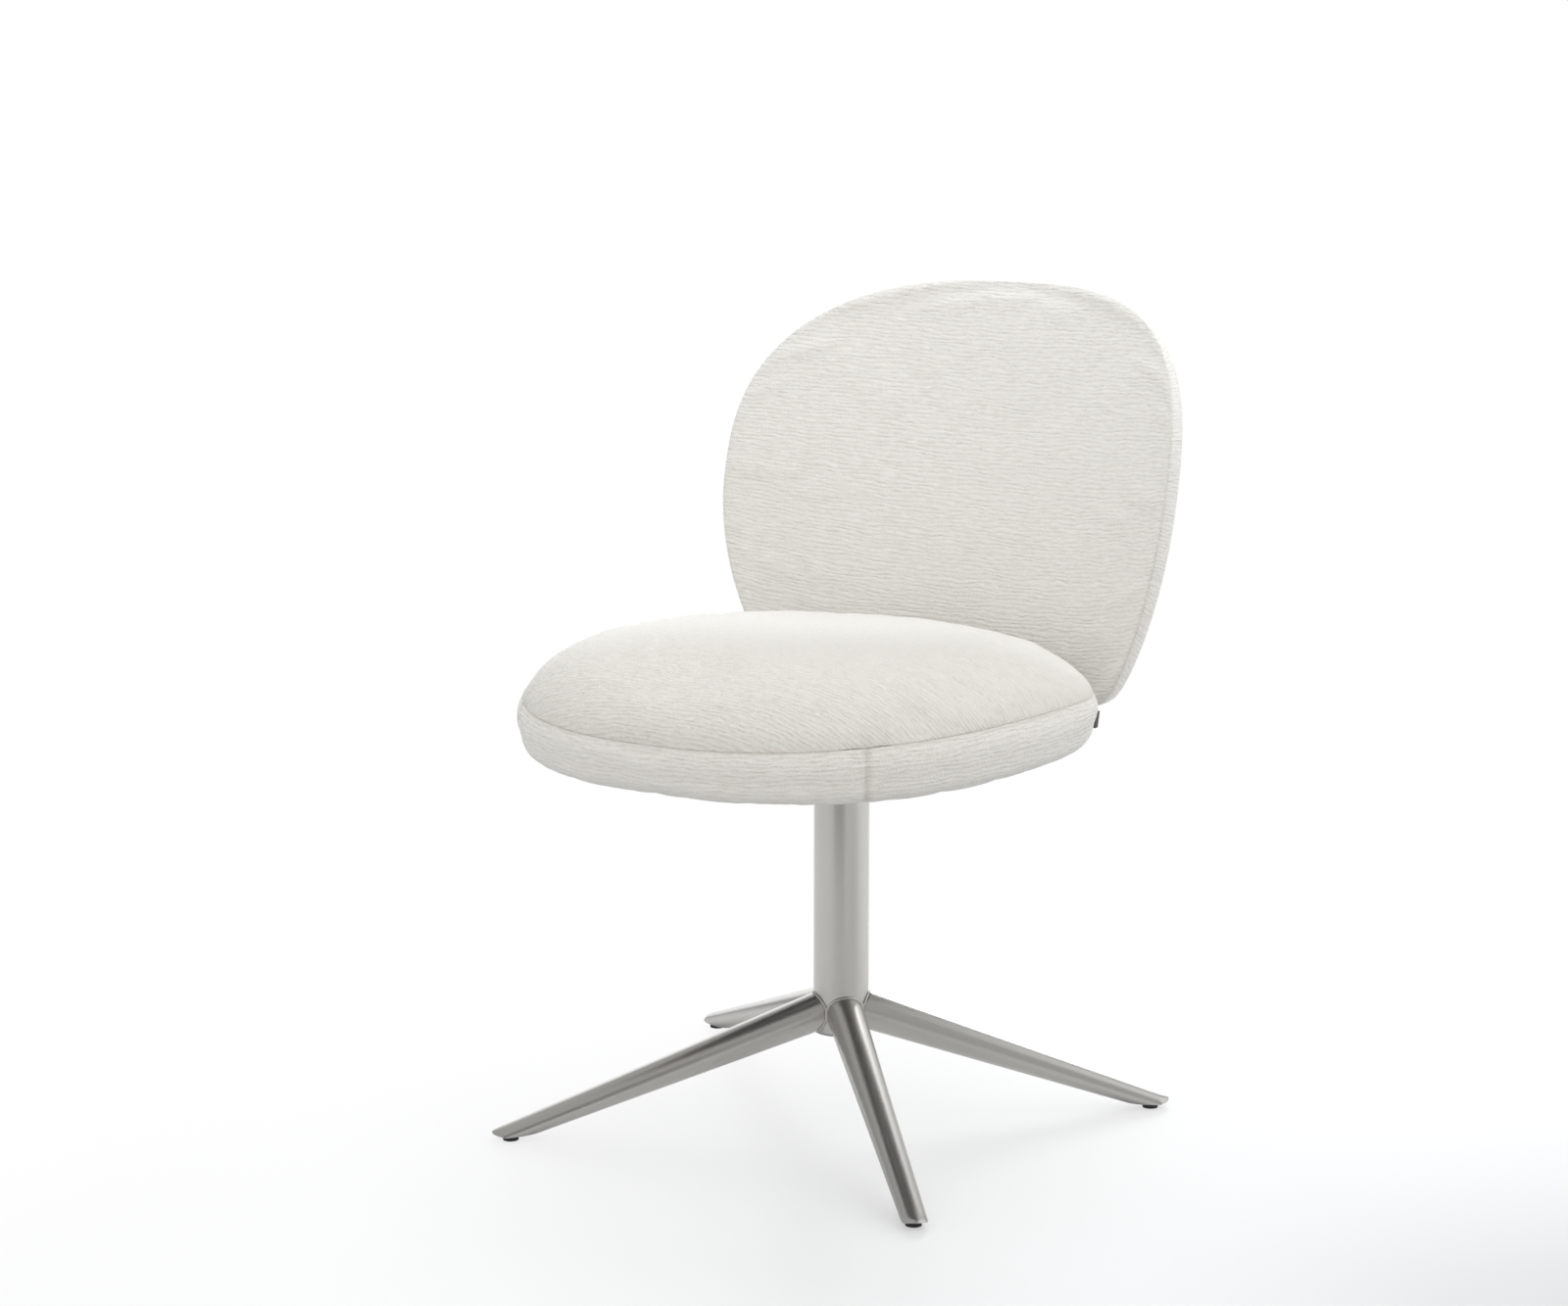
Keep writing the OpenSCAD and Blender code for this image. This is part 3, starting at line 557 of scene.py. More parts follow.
class CHAIR_OT_seat_border(bpy.types.Operator):
    """Makes the seat's border, from the seam down and under to the board"""
    bl_idname = "chair.seat_border"
    bl_label = "Seat border"

    def execute(self, context):
        seat, cloth = context.scene.chair_seat, context.scene.chair_cloth
        roll = cloth.seam_roll / MM
        low = (seat.seam_height - seat.border_height) / MM
        radius = seat.border_radius / MM
        board = seat.board_height / MM
        steps = 4 * cloth.across
        turn = np.linspace(0, 2 * math.pi, steps + 1) + math.pi / 2
        top = seam_height(turn) + TUCK

        def ring(inset, z):
            return seat_point(turn, 1, inset, z)

        rings = [ring(inset, top - roll + lift) for inset, lift in
                 [(3 * roll, roll)] + [(roll * (1 - math.sin(a)), roll * math.cos(a))
                                       for a in np.radians([0, 30, 60])]]
        first_side = len(rings)
        side_top, side_low, side_rows = top - roll, low + radius, 7
        for u in np.linspace(0, 1, side_rows + 1)[:-1]:
            rings.append(ring(-seat.border_swell / MM * math.sin(math.pi * u),
                              side_top + (side_low - side_top) * u))
        for a in np.radians(np.arange(0, 91, 11.25)):
            rings.append(ring(radius * (1 - math.cos(a)), low + radius * (1 - math.sin(a))))
        last_side = len(rings)
        # Under the board's rim to the lining's edge, then back out between board and foam
        for inset, z in [(32, low), (42, board - 3), (60, board - 2), (61, board - 0.5),
                         (58, board + 0.5), (30, board + 1), (24, board + 16)]:
            rings.append(ring(inset, z))
        grid = np.array(rings)
        rows = len(grid)
        run = run_of(grid)
        along = run_of(np.swapaxes(grid, 0, 1))[:, first_side]
        pattern = np.stack([np.broadcast_to(along, run.shape), -run], axis=-1)
        number_of = table(rows, steps)
        quads = strip(number_of, np.roll(number_of, -1, 0))
        a, b = pattern, np.roll(pattern, -1, 0)
        corner = np.stack([a[:, :-1], b[:, :-1], b[:, 1:], a[:, 1:]], axis=2).reshape(-1, 2)
        piece = cloth_mesh("seat_border_panel", grid[:, :-1].reshape(-1, 3), quads, corner)
        free = number_of[first_side + 1:last_side].ravel()
        held = np.setdiff1d(np.arange(rows * steps), free)
        settle(piece, held, SEAT_STRETCH)
        refine(piece)
        points = about_column(piece)
        x, y, z = points[:, 0], points[:, 1] + seat.forward / MM, points[:, 2]
        around = np.arctan2(y, x)
        outline = outline_run(around, seat_radius)
        drop = seam_height(around) - z
        depth = puckers(outline, drop) * (1 - near_seam(drop, PUCKER_GAP))
        outside = np.hypot(x, y) > seat_radius(around, radius) - 1
        # Painted shade along the seam, and a share of the seat's front left shade
        border_share_of_painted_shade = 0.6
        fold = SEAM_PAINTED_SHADE * near_seam(drop, SEAM_WIDTH) + border_share_of_painted_shade * painted_front_left_shade(points)
        seam_depth, seam_reach, side_depth, side_away, side_reach = 0.0020, 3.2, 0.0006, 8, 6
        # Painted shade along each front corner seam
        seam_gap, dark, dark_reach = 4, 0.4, 2.4
        for side in corner_turns():
            away = np.abs(outline - outline_run(np.array(side), seat_radius))
            ripple = 0.5 + 0.5 * np.cos(2 * math.pi * z / (cloth.stitch / MM))
            valley = seam_depth * near_seam(away, seam_reach)
            valley += side_depth * near_seam(away - side_away, side_reach) * ripple
            depth += valley * (1 - near_seam(drop, seam_gap))
            fold += dark * near_seam(away, dark_reach)
        wear_cloth(piece, depth * outside, fold * outside)
        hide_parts("seat_border")
        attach(piece, "seat")
        return {"FINISHED"}


class CHAIR_OT_lining(bpy.types.Operator):
    """Makes the black lining stapled under the seat"""
    bl_idname = "chair.lining"
    bl_label = "Lining"

    def execute(self, context):
        seat = context.scene.chair_seat
        board = seat.board_height / MM
        n = 40
        share, turn = disc(n)
        inset, below, sag, hem, thick = LINING_INSET, 0.6, 1.4, 1.2, 0.5
        pleats, pleat_depth = 38, 0.3
        under = seat_point(turn, share, inset, board - below - sag * (1 - share ** 3))
        under[:, 2] += pleat_depth * np.sin(turn * pleats) * share ** 8
        over = under + (0, 0, thick)
        rim = disc_rim(n)
        edge = seat_point(turn[rim], 1, inset - hem / 2, board - below)
        points = np.concatenate([over, under, edge])
        many = len(over)
        numbers = 2 * many + np.arange(len(rim))
        quads = np.concatenate([disc_faces(n), disc_faces(n)[:, ::-1] + many,
                                strip(rim, numbers), strip(numbers, rim + many)])
        piece = cloth_mesh("lining", points, quads, points[quads.ravel(), :2])
        outline = seat_point(np.linspace(-math.pi, math.pi, 721), 1, inset, 0)[:, :2] * MM
        piece.data.materials.append(lining_finish())
        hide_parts("dust_cover")
        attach(piece, "seat")
        return {"FINISHED"}


# ---------------------------------------------------------------- the back's form

def back_radius(turn, inset=0):
    """The back's outline about its widest level: a squarish oval above, and below a
    longer oval that is cut level with the floor, joined by a smooth minimum."""
    back = bpy.context.scene.chair_back
    half, rise, drop = back.width / MM / 2, back.rise / MM, back.drop / MM
    middle = back.middle / MM
    bottom = (back.lower_edge - back.level) / MM / math.cos(back.lean)
    curve = math.tan(back.lean) / (2 * back.wrap / MM)
    fall = middle - bottom
    root = np.sin(turn) ** 2 - 4 * curve * fall * np.cos(turn) ** 2
    below = np.maximum(-np.sin(turn) + np.sqrt(np.maximum(root, 0)), 1e-3)
    level = np.where(root > 0, 2 * fall / below, 1000)
    upper = oval_radius(turn, half, rise, back.squareness)
    power = -20.0
    lower = (oval_radius(turn, half, drop, 2) ** power + level ** power) ** (1 / power)
    return np.where(np.sin(turn) >= 0, upper, lower) - inset


def back_point(turn, share, inset, depth):
    """A point of the back, in millimetres: bent round the wrap's cylinder, leaned back
    and set in place. depth is measured backwards from the seam."""
    back = bpy.context.scene.chair_back
    wrap, lean = back.wrap / MM, back.lean
    r = share * back_radius(turn, inset)
    bend = np.arcsin(r * np.cos(turn) / wrap)
    x = (wrap + depth) * np.sin(bend)
    y = (wrap + depth) * np.cos(bend) - wrap
    z = back.middle / MM + r * np.sin(turn)
    return np.stack([x, back.set_back / MM + y * math.cos(lean) + z * math.sin(lean),
                     back.level / MM - y * math.sin(lean) + z * math.cos(lean)], axis=-1)


def back_piece(name, sign, height, powers, nodes):
    """One of the back's two pads. sign is -1 for the front pad and 1 for the rear one.
    The pad's height falls to nothing at the seam: one less the share to the first power,
    all to the second."""
    back, cloth = bpy.context.scene.chair_back, bpy.context.scene.chair_cloth
    roll = cloth.seam_roll / MM

    def surface(share, turn):
        swell = np.maximum(1 - share ** powers[0], 0) ** powers[1]
        depth = height * swell + (roll - TUCK) * share ** 20
        return back_point(turn, share, 0, sign * depth)

    def edge(turn, inset, drop):
        return back_point(turn, 1, inset, sign * (roll - TUCK - drop))

    def under(share, turn):
        return back_point(turn, share, HIDDEN_INSET * roll * share, -sign * TUCK)

    piece, held = pad_piece(name, surface, rolled_edge(edge, roll), under, cloth.across,
                            flip=sign < 0)
    settle(piece, held, BACK_STRETCH)
    refine(piece)
    points = about_column(piece)
    y = points[:, 1] - back.set_back / MM
    z = points[:, 2] - back.level / MM
    up = y * math.sin(back.lean) + z * math.cos(back.lean) - back.middle / MM
    out = y * math.cos(back.lean) - z * math.sin(back.lean) + back.wrap / MM
    bend = np.arctan2(points[:, 0], out)
    turn = np.arctan2(up, back.wrap / MM * np.sin(bend))
    rim = back_point(turn, 1, 0, 0)
    away = np.linalg.norm(points - rim, axis=1)
    # Painted shade, darker towards the pad's lower part
    dark, start, reach = 0.2, 60, 220
    low = np.clip((start - up) / reach, 0, 1)
    wear_cloth(piece, puckers(outline_run(turn, back_radius), away),
               SEAM_PAINTED_SHADE * near_seam(away, SEAM_WIDTH) + dark * low)
    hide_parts(*nodes)
    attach(piece, "seat")


class CHAIR_OT_back(bpy.types.Operator):
    """Makes the back's front pad, which the sitter leans on, and the rear pad behind it"""
    bl_idname = "chair.back"
    bl_label = "Back"

    def execute(self, context):
        back = context.scene.chair_back
        back_piece("back_front_pad", -1, back.crown / MM, (4, 0.7), BACK_FRONT_NODES)
        back_piece("back_rear_pad", 1, back.bulge / MM - SETTLED, (9, 0.42), BACK_REAR_NODES)
        return {"FINISHED"}


# ---------------------------------------------------------------- the legs

def leg_oval(x, around, reach):
    """A point of a leg along +X, in millimetres: an oval section whose height, width and
    top line change evenly from the column to the tip, rounded off in plan at the tip,
    and never lower than the foot, which is level over the glide and then rises."""
    base = bpy.context.scene.chair_base
    radius, tip = base.column / MM, (reach + base.overhang) / MM
    share = (x - radius) / (tip - radius)
    high = (base.root_height + (base.tip_height - base.root_height) * share) / MM
    wide = (base.root_width + (base.tip_width - base.root_width) * share) / MM
    root_top = base.column_low + base.root_height - base.sink
    top = (root_top + (base.tip_top - root_top) * share) / MM
    nose = base.tip_width / MM / 2
    bow = np.sqrt(1 - np.clip((x - tip + nose) / nose, 0, 1) ** 2)
    y = wide / 2 * np.cos(around) * bow
    z = top - high / 2 + high / 2 * np.sin(around)
    heel = (reach + base.glide) / MM
    foot = base.glide_height / MM + np.maximum(x - heel, 0) * math.tan(base.foot_rise)
    soft = 0.5
    return y, (z + foot + np.sqrt((z - foot) ** 2 + soft ** 2)) / 2


def root_distance(around, reach, radius):
    """How far from the column's axis, along the leg, its oval meets a cylinder."""
    x = np.full_like(around, radius)
    rounds = 4
    for _ in range(rounds):
        x = np.sqrt(radius ** 2 - leg_oval(x, around, reach)[0] ** 2)
    return x


def steel_piece(name, points, faces, turn, material):
    """A steel piece of the base from points in millimetres about the column, turned
    about it."""
    sine, cosine = math.sin(turn), math.cos(turn)
    x, y, z = np.moveaxis(points, -1, 0)
    turned = np.stack([x * cosine - y * sine, x * sine + y * cosine, z], axis=-1)
    piece = new_piece(name, turned, faces)
    piece.data.materials.append(material)
    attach(piece, "base")
    return piece


def leg_mesh(reach):
    """The leg's skin on a grid, from inside the column's wall to the tip, where the
    rings come closer together. Both ends are closed."""
    base = bpy.context.scene.chair_base
    rings, sides, inside = 120, 72, 1
    around = np.linspace(0, 2 * math.pi, sides, endpoint=False)
    root = root_distance(around, reach, base.column / MM - inside)
    run = np.sin(np.linspace(0, math.pi / 2, rings))[:, None]
    x = root + ((reach + base.overhang) / MM - root) * run
    y, z = leg_oval(x, around, reach)
    points = np.stack([x, y, z], axis=-1).reshape(-1, 3)
    number_of = table(rings, sides)
    return points, [*tube_faces(number_of[:-1], number_of[1:]), number_of[0].tolist(),
                    number_of[-1][::-1].tolist()]


def bead_mesh(reach):
    """The weld bead: a thin tube along the line where the leg meets the column. Its
    section is a circle between the column's normal and the line's own normal."""
    base, steel = bpy.context.scene.chair_base, bpy.context.scene.chair_steel
    steps, sides, radius = 180, 14, base.column / MM
    ripples, ripple_share, lift = 55, 0.08, 0.8
    around = np.linspace(0, 2 * math.pi, steps, endpoint=False)
    x = root_distance(around, reach, radius)
    y, z = leg_oval(x, around, reach)
    line = np.stack([x, y, np.maximum(z, base.column_low / MM + lift)], axis=-1)
    along = np.roll(line, -1, 0) - np.roll(line, 1, 0)
    along /= np.linalg.norm(along, axis=1, keepdims=True)
    out = np.stack([x, y, 0 * x], axis=-1) / radius
    side = np.cross(along, out)
    side /= np.linalg.norm(side, axis=1, keepdims=True)
    turn = np.linspace(0, 2 * math.pi, sides, endpoint=False)[None, :, None]
    thick = steel.bead / MM * (1 + ripple_share * np.sin(around * ripples)[:, None, None])
    tube = line[:, None] + thick * (np.cos(turn) * out[:, None] + np.sin(turn) * side[:, None])
    number_of = table(steps, sides)
    return tube.reshape(-1, 3), tube_faces(np.roll(number_of, -1, 0), number_of)


class CHAIR_OT_legs(bpy.types.Operator):
    """Makes the four legs, with smooth tips, and the weld beads at their roots"""
    bl_idname = "chair.legs"
    bl_label = "Legs"

    def execute(self, context):
        base = context.scene.chair_base
        front, rear = math.pi / 2 - base.front_angle, math.pi / 2 - base.rear_angle
        legs = {"leg_front_left": (-front, base.front_reach),
                "leg_front_right": (math.pi + front, base.front_reach),
                "leg_rear_left": (rear, base.rear_reach),
                "leg_rear_right": (math.pi - rear, base.rear_reach)}
        for name, (turn, reach) in legs.items():
            steel = satin_finish("satin_" + name, (25, 900, 900), (0, 0, -turn))
            leg = steel_piece(name + "_skin", *leg_mesh(reach), turn, steel)
            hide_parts(name)
            steel_piece(name.replace("leg", "bead"), *bead_mesh(reach), turn, steel)
        return {"FINISHED"}


# ---------------------------------------------------------------- finishes

def is_socket(value):
    return isinstance(value, bpy.types.NodeSocket)


class Nodes:
    """A node tree and short ways to add its nodes. Where a node takes a value, an output
    of another node is joined to it instead."""

    def __init__(self, tree):
        self.tree = tree

    def feed(self, socket, value):
        if is_socket(value):
            self.tree.links.new(value, socket)
        else:
            socket.default_value = value

    def add(self, kind, *first, **named):
        """A new node. Its first sockets are fed in turn and others by their names. A name
        that no socket has is a setting of the node."""
        node = self.tree.nodes.new(kind)
        for key, value in named.items():
            name = key.replace("_", " ")
            if name in node.inputs:
                self.feed(node.inputs[name], value)
            else:
                setattr(node, key, value)
        for socket, value in zip(node.inputs, first):
            self.feed(socket, value)
        return node

    def math(self, operation, *values):
        return self.add("ShaderNodeMath", *values, operation=operation).outputs[0]

    def total(self, *layers):
        """The sum of patterns, each with its own weight."""
        level = 0.0
        for pattern, weight in layers:
            level = self.math("MULTIPLY_ADD", pattern, weight, level)
        return level

    def here(self):
        """A point's place in its own object."""
        return self.add("ShaderNodeTexCoord").outputs["Object"]

    def noise(self, vector, scale, detail=2.0, roughness=0.5, rotation=(0, 0, 0)):
        """Noise. Three scales stretch it along the object's own axes, and the turn that
        follows them gives each piece its own part of it."""
        if not isinstance(scale, float):
            vector = self.add("ShaderNodeMapping", vector, Scale=scale,
                              Rotation=rotation).outputs[0]
            scale = 1.0
        return self.add("ShaderNodeTexNoise", Vector=vector, Scale=scale, Detail=detail,
                        Roughness=roughness).outputs["Fac"]

    def blend(self, factor, first, second, kind="MIX"):
        """A mix of two colours."""
        node = self.add("ShaderNodeMix", factor, data_type="RGBA", blend_type=kind)
        for socket, value in zip(node.inputs[6:8], (first, second)):
            self.feed(socket, value if is_socket(value) else (*value, 1))
        return node.outputs[2]

    def ramp(self, value, low, high, to_low=0.0, to_high=1.0):
        return self.add("ShaderNodeMapRange", value, low, high, to_low, to_high).outputs[0]


class Finish(Nodes):
    """A new material, built round its own shader."""

    def __init__(self, name):
        self.material = bpy.data.materials.new(name)
        self.material.use_nodes = True
        super().__init__(self.material.node_tree)
        self.shader = self.tree.nodes["Principled BSDF"]

    def set(self, **values):
        for key, value in values.items():
            self.feed(self.shader.inputs[key.replace("_", " ")], value)

    def bump(self, height, distance, strength):
        node = self.add("ShaderNodeBump", Height=height, Distance=distance, Strength=strength)
        self.set(Normal=node.outputs[0])


def cloth_finish(name):
    """Chenille with uneven ribs. The ribs run along the pattern's first axis. Their
    height is a wave across them, broken up by noise stretched along them, with small
    loops and fibres on top, and painted shade makes the hollows a little darker and warmer."""
    cloth = bpy.context.scene.chair_cloth
    finish = Finish(name)
    flat = finish.add("ShaderNodeUVMap", uv_map="pattern").outputs[0]
    slub = finish.noise(flat, (80, 350, 1), 3.0, 0.72)
    loops = finish.noise(flat, (430, 500, 1), 2.0, 0.6)
    fibres = finish.noise(flat, (1300, 1500, 1), 1.0)
    wander = finish.noise(flat, (22, 60, 1))
    across = finish.add("ShaderNodeSeparateXYZ", flat).outputs[1]
    turns = finish.total((across, 2 * math.pi / cloth.rib), (wander, 16.0))
    wave = finish.math("MULTIPLY_ADD", finish.math("SINE", turns), 0.5, 0.5)
    height = finish.total((wave, 0.2), (slub, 0.9), (loops, 0.5), (fibres, 0.2))
    finish.bump(height, cloth.relief, 1.0)
    # Painted shade in the hollows: the lower the ribs, the nearer the colour comes to the shade colour
    tint = finish.blend(finish.ramp(height, 0.64, 1.12), cloth.shade, cloth.tint)
    # Painted shade that each piece carries: along its seams, at the corner seams, low on the back and over the
    # seat's front left
    fold = finish.add("ShaderNodeAttribute", attribute_name="fold").outputs["Fac"]
    painted_shade_tint = finish.blend(fold, (1, 1, 1), cloth.fold)
    finish.set(Base_Color=finish.blend(1.0, tint, painted_shade_tint, "MULTIPLY"), Roughness=0.95,
               Sheen_Weight=0.35, Sheen_Roughness=0.5, Specular_IOR_Level=0.2)
    return finish.material


def lining_finish():
    """Black non-woven lining: pressed fibres with a faint dimpled grid."""
    finish = Finish("black_lining")
    here = finish.here()
    fibre = finish.noise(here, (700, 700, 700), 3.0, 0.6)
    dimple = finish.add("ShaderNodeTexVoronoi", here, Scale=420.0).outputs["Distance"]
    finish.bump(finish.total((fibre, 1.0), (dimple, 0.5)), 0.0003, 0.8)
    tint = finish.blend(finish.ramp(fibre, 0.3, 0.7), (0.015, 0.015, 0.016), (0.05, 0.05, 0.052))
    finish.set(Base_Color=tint, Roughness=0.85, Specular_IOR_Level=0.3)
    return finish.material


def satin_finish(name, brushing, rotation=(0, 0, 0)):
    """Satin stainless steel: fine brush marks in height and in gloss, over a faint
    cloudiness."""
    steel = bpy.context.scene.chair_steel
    finish = Finish(name)
    here = finish.here()
    marks = finish.noise(here, brushing, 3.0, 0.6, rotation)
    finish.bump(marks, 0.00006, 0.35)
    uneven = 0.06
    gloss = finish.ramp(marks, 0.0, 1.0, steel.roughness - uneven, steel.roughness + uneven)
    dull = tuple(c * 0.93 for c in steel.satin)
    tint = finish.blend(finish.noise(here, 14.0), dull, steel.satin)
    finish.set(Base_Color=tint, Metallic=1.0, Roughness=gloss)
    return finish.material


def grained_finish(name, low, high, roughness, scale=900.0, grain=(2.0, 0.5), bump=(0.00008, 0.6),
                   metallic=0.0):
    """Moulded plastic, cut foam or a coated metal: one fine grain, in height and in tone
    between two colours."""
    finish = Finish(name)
    level = finish.noise(finish.here(), scale, *grain)
    finish.bump(level, *bump)
    finish.set(Base_Color=finish.blend(level, low, high), Roughness=roughness, Metallic=metallic)
    return finish.material


def plated_finish():
    """Zinc plated steel: grainy spangle with a soft gloss."""
    plated = bpy.context.scene.chair_steel.plated
    return grained_finish("plated_steel", tuple(c * 0.8 for c in plated), plated, 0.42, 300.0,
                          (3.0, 0.6), (0.00005, 0.5), 1.0)


def plywood_finish():
    """Birch plywood: long wavy grain on the faces and thin plies on the edges."""
    finish = Finish("birch_plies")
    here = finish.here()
    grain = finish.noise(here, (90, 9, 60), 4.0, 0.6)
    fine = finish.noise(here, (900, 60, 700))
    finish.bump(fine, 0.0001, 0.5)
    tone = finish.ramp(finish.total((grain, 1.0), (fine, 0.3)), 0.4, 0.9)
    finish.set(Base_Color=finish.blend(tone, (0.52, 0.34, 0.18), (0.74, 0.56, 0.36)),
               Roughness=0.55)
    return finish.material


def smooth_shading():
    """A modifier that joins a CAD node's loose triangles and shades its curves smooth,
    with edges that bend more than SHARP_EDGE left sharp. It moves no point."""
    group = bpy.data.node_groups.get("smooth_curves")
    if group:
        return group
    group = bpy.data.node_groups.new("smooth_curves", "GeometryNodeTree")
    for way in ("INPUT", "OUTPUT"):
        group.interface.new_socket("Geometry", in_out=way, socket_type="NodeSocketGeometry")
    nodes = Nodes(group)
    start, end = nodes.add("NodeGroupInput"), nodes.add("NodeGroupOutput")
    merge = nodes.add("GeometryNodeMergeByDistance", start.outputs[0], Distance=MERGE_DISTANCE)
    bare = nodes.add("GeometryNodeRemoveAttribute", merge.outputs[0], Name="custom_normal")
    faces = nodes.add("GeometryNodeSetShadeSmooth", bare.outputs[0])
    bend = nodes.add("GeometryNodeInputMeshEdgeAngle").outputs["Unsigned Angle"]
    sharp = nodes.add("FunctionNodeCompare", bend, SHARP_EDGE).outputs[0]
    edges = nodes.add("GeometryNodeSetShadeSmooth", faces.outputs[0], domain="EDGE",
                      Selection=sharp, Shade_Smooth=False)
    nodes.feed(end.inputs[0], edges.outputs[0])
    return group


class CHAIR_OT_finishes(bpy.types.Operator):
    """Gives every steel, plastic and wooden part its finish"""
    bl_idname = "chair.finishes"
    bl_label = "Finishes"

    def execute(self, context):
        around = satin_finish("satin_steel_column", (12, 12, 1500))
        zinc = plated_finish()
        black = grained_finish("moulded_black", (0.012, 0.012, 0.013), (0.03, 0.03, 0.032), 0.5)
        oiled = grained_finish("oiled_steel", (0.035, 0.032, 0.03), (0.06, 0.055, 0.05), 0.45,
                               200.0)
        grey = grained_finish("moulded_grey", (0.26, 0.26, 0.255), (0.32, 0.32, 0.31), 0.4)
        nylon = grained_finish("moulded_nylon", (0.74, 0.72, 0.66), (0.82, 0.81, 0.77), 0.45)
        foam = grained_finish("cut_foam", (0.78, 0.70, 0.50), (0.86, 0.80, 0.62), 0.95, 500.0)
        wood = plywood_finish()
        wear = {"column_tube": around, "support_frame": oiled, "column_end_cap": grey,
                "floor_glides": black, "seat_spacers": black, "upper_bush": nylon,
                "lower_bush": nylon, "thrust_washer": nylon, "seat_board": wood,
                "back_shell": wood}
        soft = {"padding": foam, "boucle_cloth": foam, "lining_cloth": foam}
        slots = {row["node"]: row["material_slot"] for row in frame["record"]["subparts"]}
        for name, node in frame["nodes"].items():
            material = wear.get(name) or soft.get(slots[name]) or zinc
            node.data.materials.clear()
            node.data.materials.append(material)
            if not node.hide_render:
                node.modifiers.new("smooth", "NODES").node_group = smooth_shading()
        return {"FINISHED"}


# ---------------------------------------------------------------- camera and studio

class CHAIR_OT_camera(bpy.types.Operator):
    """Sets up the camera at the photograph's viewing angle"""
    bl_idname = "chair.camera"
    bl_label = "Camera"

    def execute(self, context):
        studio = context.scene.chair_studio
        data = bpy.data.cameras.new("camera")
        data.sensor_width = 36
        data.lens = studio.lens / MM
        camera = bpy.data.objects.new("camera", data)
        context.scene.collection.objects.link(camera)
        sine, cosine = math.sin(studio.azimuth), math.cos(studio.azimuth)
        camera.location = (COLUMN_X - studio.aside * cosine + studio.distance * sine,
                           COLUMN_Y - studio.aside * sine - studio.distance * cosine,
                           studio.height)
        camera.rotation_euler = (math.pi / 2 - studio.pitch, 0, studio.azimuth)
        context.scene.camera = camera
        return {"FINISHED"}


def soft_box(name, place, aim, size, glow):
    """A rectangular soft light at place that looks at aim. Its power is pi times its
    area times the brightness of its face."""
    data = bpy.data.lights.new(name, "AREA")
    data.shape = "RECTANGLE"
    data.size, data.size_y = size
    data.energy = math.pi * size[0] * size[1] * glow
    data.color = LAMP_TINT
    light = bpy.data.objects.new(name, data)
    bpy.context.scene.collection.objects.link(light)
    x, y, z = np.subtract(aim, place)
    light.location = place
    light.rotation_euler = (math.atan2(math.hypot(x, y), -z), 0, math.atan2(y, x) - math.pi / 2)


def rectangle(name, along, up, material):
    """A rectangle about the origin, from the vectors to the middles of two sides."""
    along, up = np.array(along), np.array(up)
    mesh = bpy.data.meshes.new(name)
    mesh.from_pydata([-along - up, along - up, along + up, up - along], [], [(0, 1, 2, 3)])
    mesh.materials.append(material)
    flat = bpy.data.objects.new(name, mesh)
    bpy.context.scene.collection.objects.link(flat)
    return flat


def dark_card(name, place, size, turn, shade):
    """A standing dark card that only shows in the steel, as in a studio."""
    matt = grained_finish(name, shade, tuple(1.1 * c for c in shade), 0.9, 40.0)
    card = rectangle(name, (size[0] / 2, 0, 0), (0, 0, size[1] / 2), matt)
    card.location, card.rotation_euler = place, (0, 0, turn)
    card.visible_camera = card.visible_diffuse = card.visible_shadow = False
    return card


def floor_finish():
    """A satin white floor with painted shade: its colour is greyer in front, on the right.
    Away from there it has a painted glow that the camera alone sees, ever whiter, so that
    it ends in the white surround, with no horizon."""
    studio = bpy.context.scene.chair_studio
    finish = Finish("pale_floor")
    here = finish.here()

    def away(place):
        return finish.add("ShaderNodeVectorMath", here, place, operation="DISTANCE") \
            .outputs["Value"]

    # Painted shade: the floor's colour greys towards the front right
    painted_falloff = finish.ramp(away((0.8, -0.15, 0)), 0.1, 0.75)
    tone_and_painted_falloff = finish.math("MULTIPLY_ADD", finish.noise(here, 3.0), 0.05, painted_falloff)
    tint = finish.blend(tone_and_painted_falloff, tuple(0.64 * c for c in studio.floor), studio.floor)
    finish.set(Base_Color=tint, Roughness=0.42, Specular_IOR_Level=0.3)
    # Painted glow: for camera rays the floor turns into white emission, more of it farther from a point in front,
    # on the right
    seen = finish.add("ShaderNodeLightPath").outputs["Is Camera Ray"]
    share = finish.math("MULTIPLY", finish.ramp(away((1.3, -0.75, 0)), 0.6, 1.95), seen)
    glow = finish.add("ShaderNodeEmission", Strength=1.0)
    mix = finish.add("ShaderNodeMixShader", share, finish.shader.outputs[0], glow.outputs[0])
    finish.feed(finish.tree.nodes["Material Output"].inputs["Surface"], mix.outputs[0])
    return finish.material


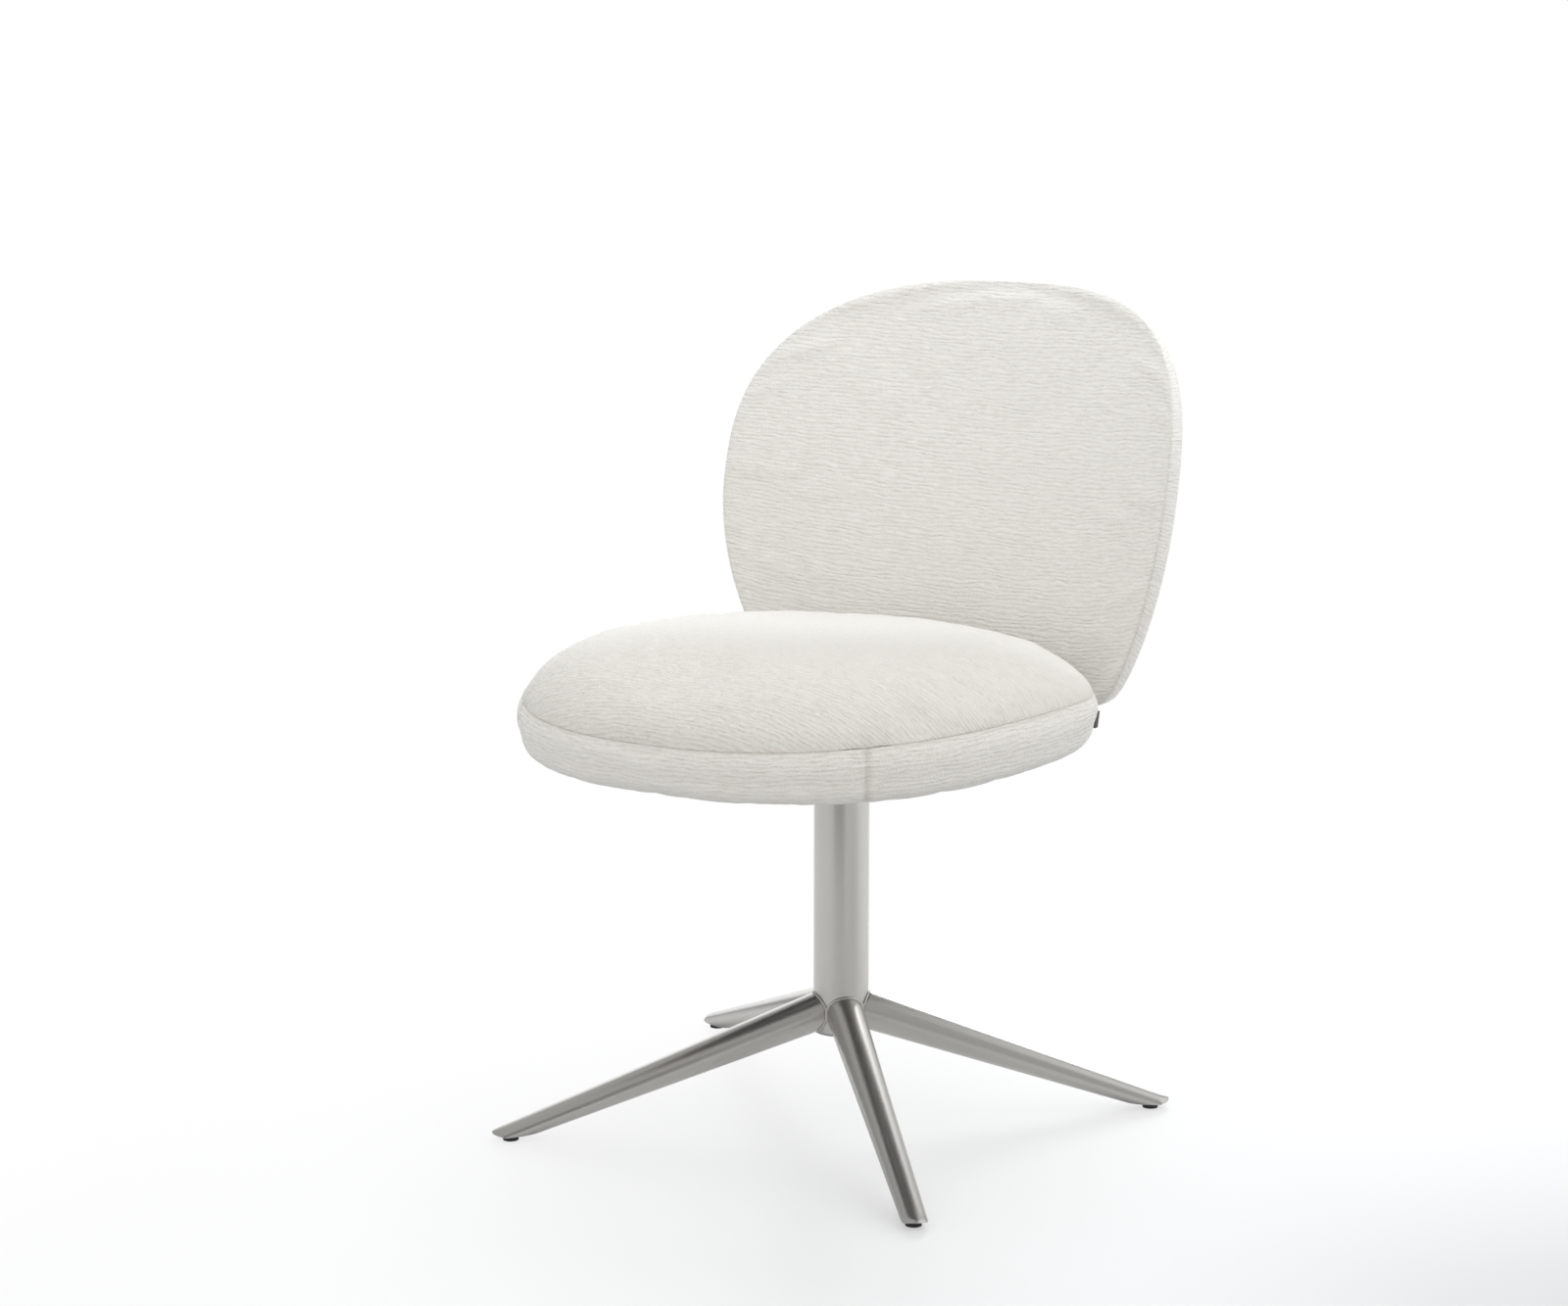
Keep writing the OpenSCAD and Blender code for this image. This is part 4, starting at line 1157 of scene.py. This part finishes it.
def surround(studio):
    """The world: white to the camera, and a studio room in the steel. Its light comes
    from all round, and a little more of it from the camera's side."""
    world = bpy.data.worlds.new("surround")
    world.use_nodes = True
    nodes = Nodes(world.node_tree)
    path = nodes.add("ShaderNodeLightPath").outputs
    way = nodes.add("ShaderNodeTexCoord").outputs["Generated"]
    camera_side = (math.sin(studio.azimuth), -math.cos(studio.azimuth), 0)
    lit = nodes.add("ShaderNodeVectorMath", way, camera_side, operation="DOT_PRODUCT")
    level = nodes.math("MULTIPLY_ADD", lit.outputs["Value"], studio.facing, studio.surround)
    soft = nodes.add("ShaderNodeBackground", (0.985, 0.992, 1.0, 1), level)
    room = nodes.add("ShaderNodeBackground", (0.99, 0.995, 1.0, 1), studio.room)
    white = world.node_tree.nodes["Background"]
    nodes.feed(white.inputs["Color"], (1, 1, 1, 1))
    nodes.feed(white.inputs["Strength"], 1.0)
    shiny = nodes.add("ShaderNodeMixShader", path["Is Glossy Ray"], soft.outputs[0],
                      room.outputs[0])
    mix = nodes.add("ShaderNodeMixShader", path["Is Camera Ray"], shiny.outputs[0],
                    white.outputs[0])
    nodes.feed(world.node_tree.nodes["World Output"].inputs["Surface"], mix.outputs[0])
    return world


class CHAIR_OT_studio(bpy.types.Operator):
    """Builds the pale floor, the white surround and the soft lights"""
    bl_idname = "chair.studio"
    bl_label = "Studio"

    def execute(self, context):
        scene, studio = context.scene, context.scene.chair_studio
        scene.view_settings.view_transform = "Standard"
        reach = 40.0
        floor = rectangle("floor", (reach, 0, 0), (0, reach, 0), floor_finish())
        scene.world = surround(studio)
        soft_box("overhead", (-0.3, 1.0, 3.0), (0, 0, 0.3), (1.5, 1.5), studio.overhead)
        soft_box("backdrop", (-2.2, 3.6, 1.6), (0, 0, 0.6), (5.0, 3.2), studio.backdrop)
        soft_box("right", (2.4, 1.7, 1.7), (0, 0, 0.2), (3.0, 3.4), studio.side)
        soft_box("low", (-1.0, 3.2, 1.9), (0, 0, 0.2), (1.4, 1.2), studio.low)
        front = dark_card("front_card", (0.40, -1.2, 0.3), (1.1, 0.8), studio.azimuth,
                          (0.18, 0.175, 0.17))
        left = dark_card("left_card", (-1.75, 0.5, 0.5), (0.8, 0.85), 1.29, (0.1, 0.1, 0.1))
        return {"FINISHED"}


# ---------------------------------------------------------------- the add-on

STEPS = ("camera", "studio", "seat_top", "seat_border", "lining", "back", "legs", "finishes")


class CHAIR_PT_panel(bpy.types.Panel):
    """Lists the chair's sizes and the steps that make it"""
    bl_idname = "CHAIR_PT_panel"
    bl_label = "Swivel Dining Chair"
    bl_space_type = "VIEW_3D"
    bl_region_type = "UI"
    bl_category = "Chair"

    def draw(self, context):
        for name in GROUPS:
            settings = getattr(context.scene, name)
            box = self.layout.box()
            box.label(text=name.removeprefix("chair_").capitalize())
            for key in settings.__annotations__:
                box.prop(settings, key)
        for step in STEPS:
            self.layout.operator("chair." + step)


GROUPS = {"chair_seat": ChairSeat, "chair_back": ChairBack, "chair_base": ChairBase,
          "chair_cloth": ChairCloth, "chair_steel": ChairSteel, "chair_studio": ChairStudio}
CLASSES = (*GROUPS.values(), CHAIR_OT_camera, CHAIR_OT_studio, CHAIR_OT_seat_top,
           CHAIR_OT_seat_border, CHAIR_OT_lining, CHAIR_OT_back, CHAIR_OT_legs,
           CHAIR_OT_finishes, CHAIR_PT_panel)


def register():
    for kind in CLASSES:
        bpy.utils.register_class(kind)
    for name, group in GROUPS.items():
        setattr(bpy.types.Scene, name, bpy.props.PointerProperty(type=group))


def unregister():
    for name in GROUPS:
        delattr(bpy.types.Scene, name)
    for kind in reversed(CLASSES):
        bpy.utils.unregister_class(kind)


def main():
    register()
    for step in STEPS:
        getattr(bpy.ops.chair, step)()


if __name__ == "__main__":
    main()
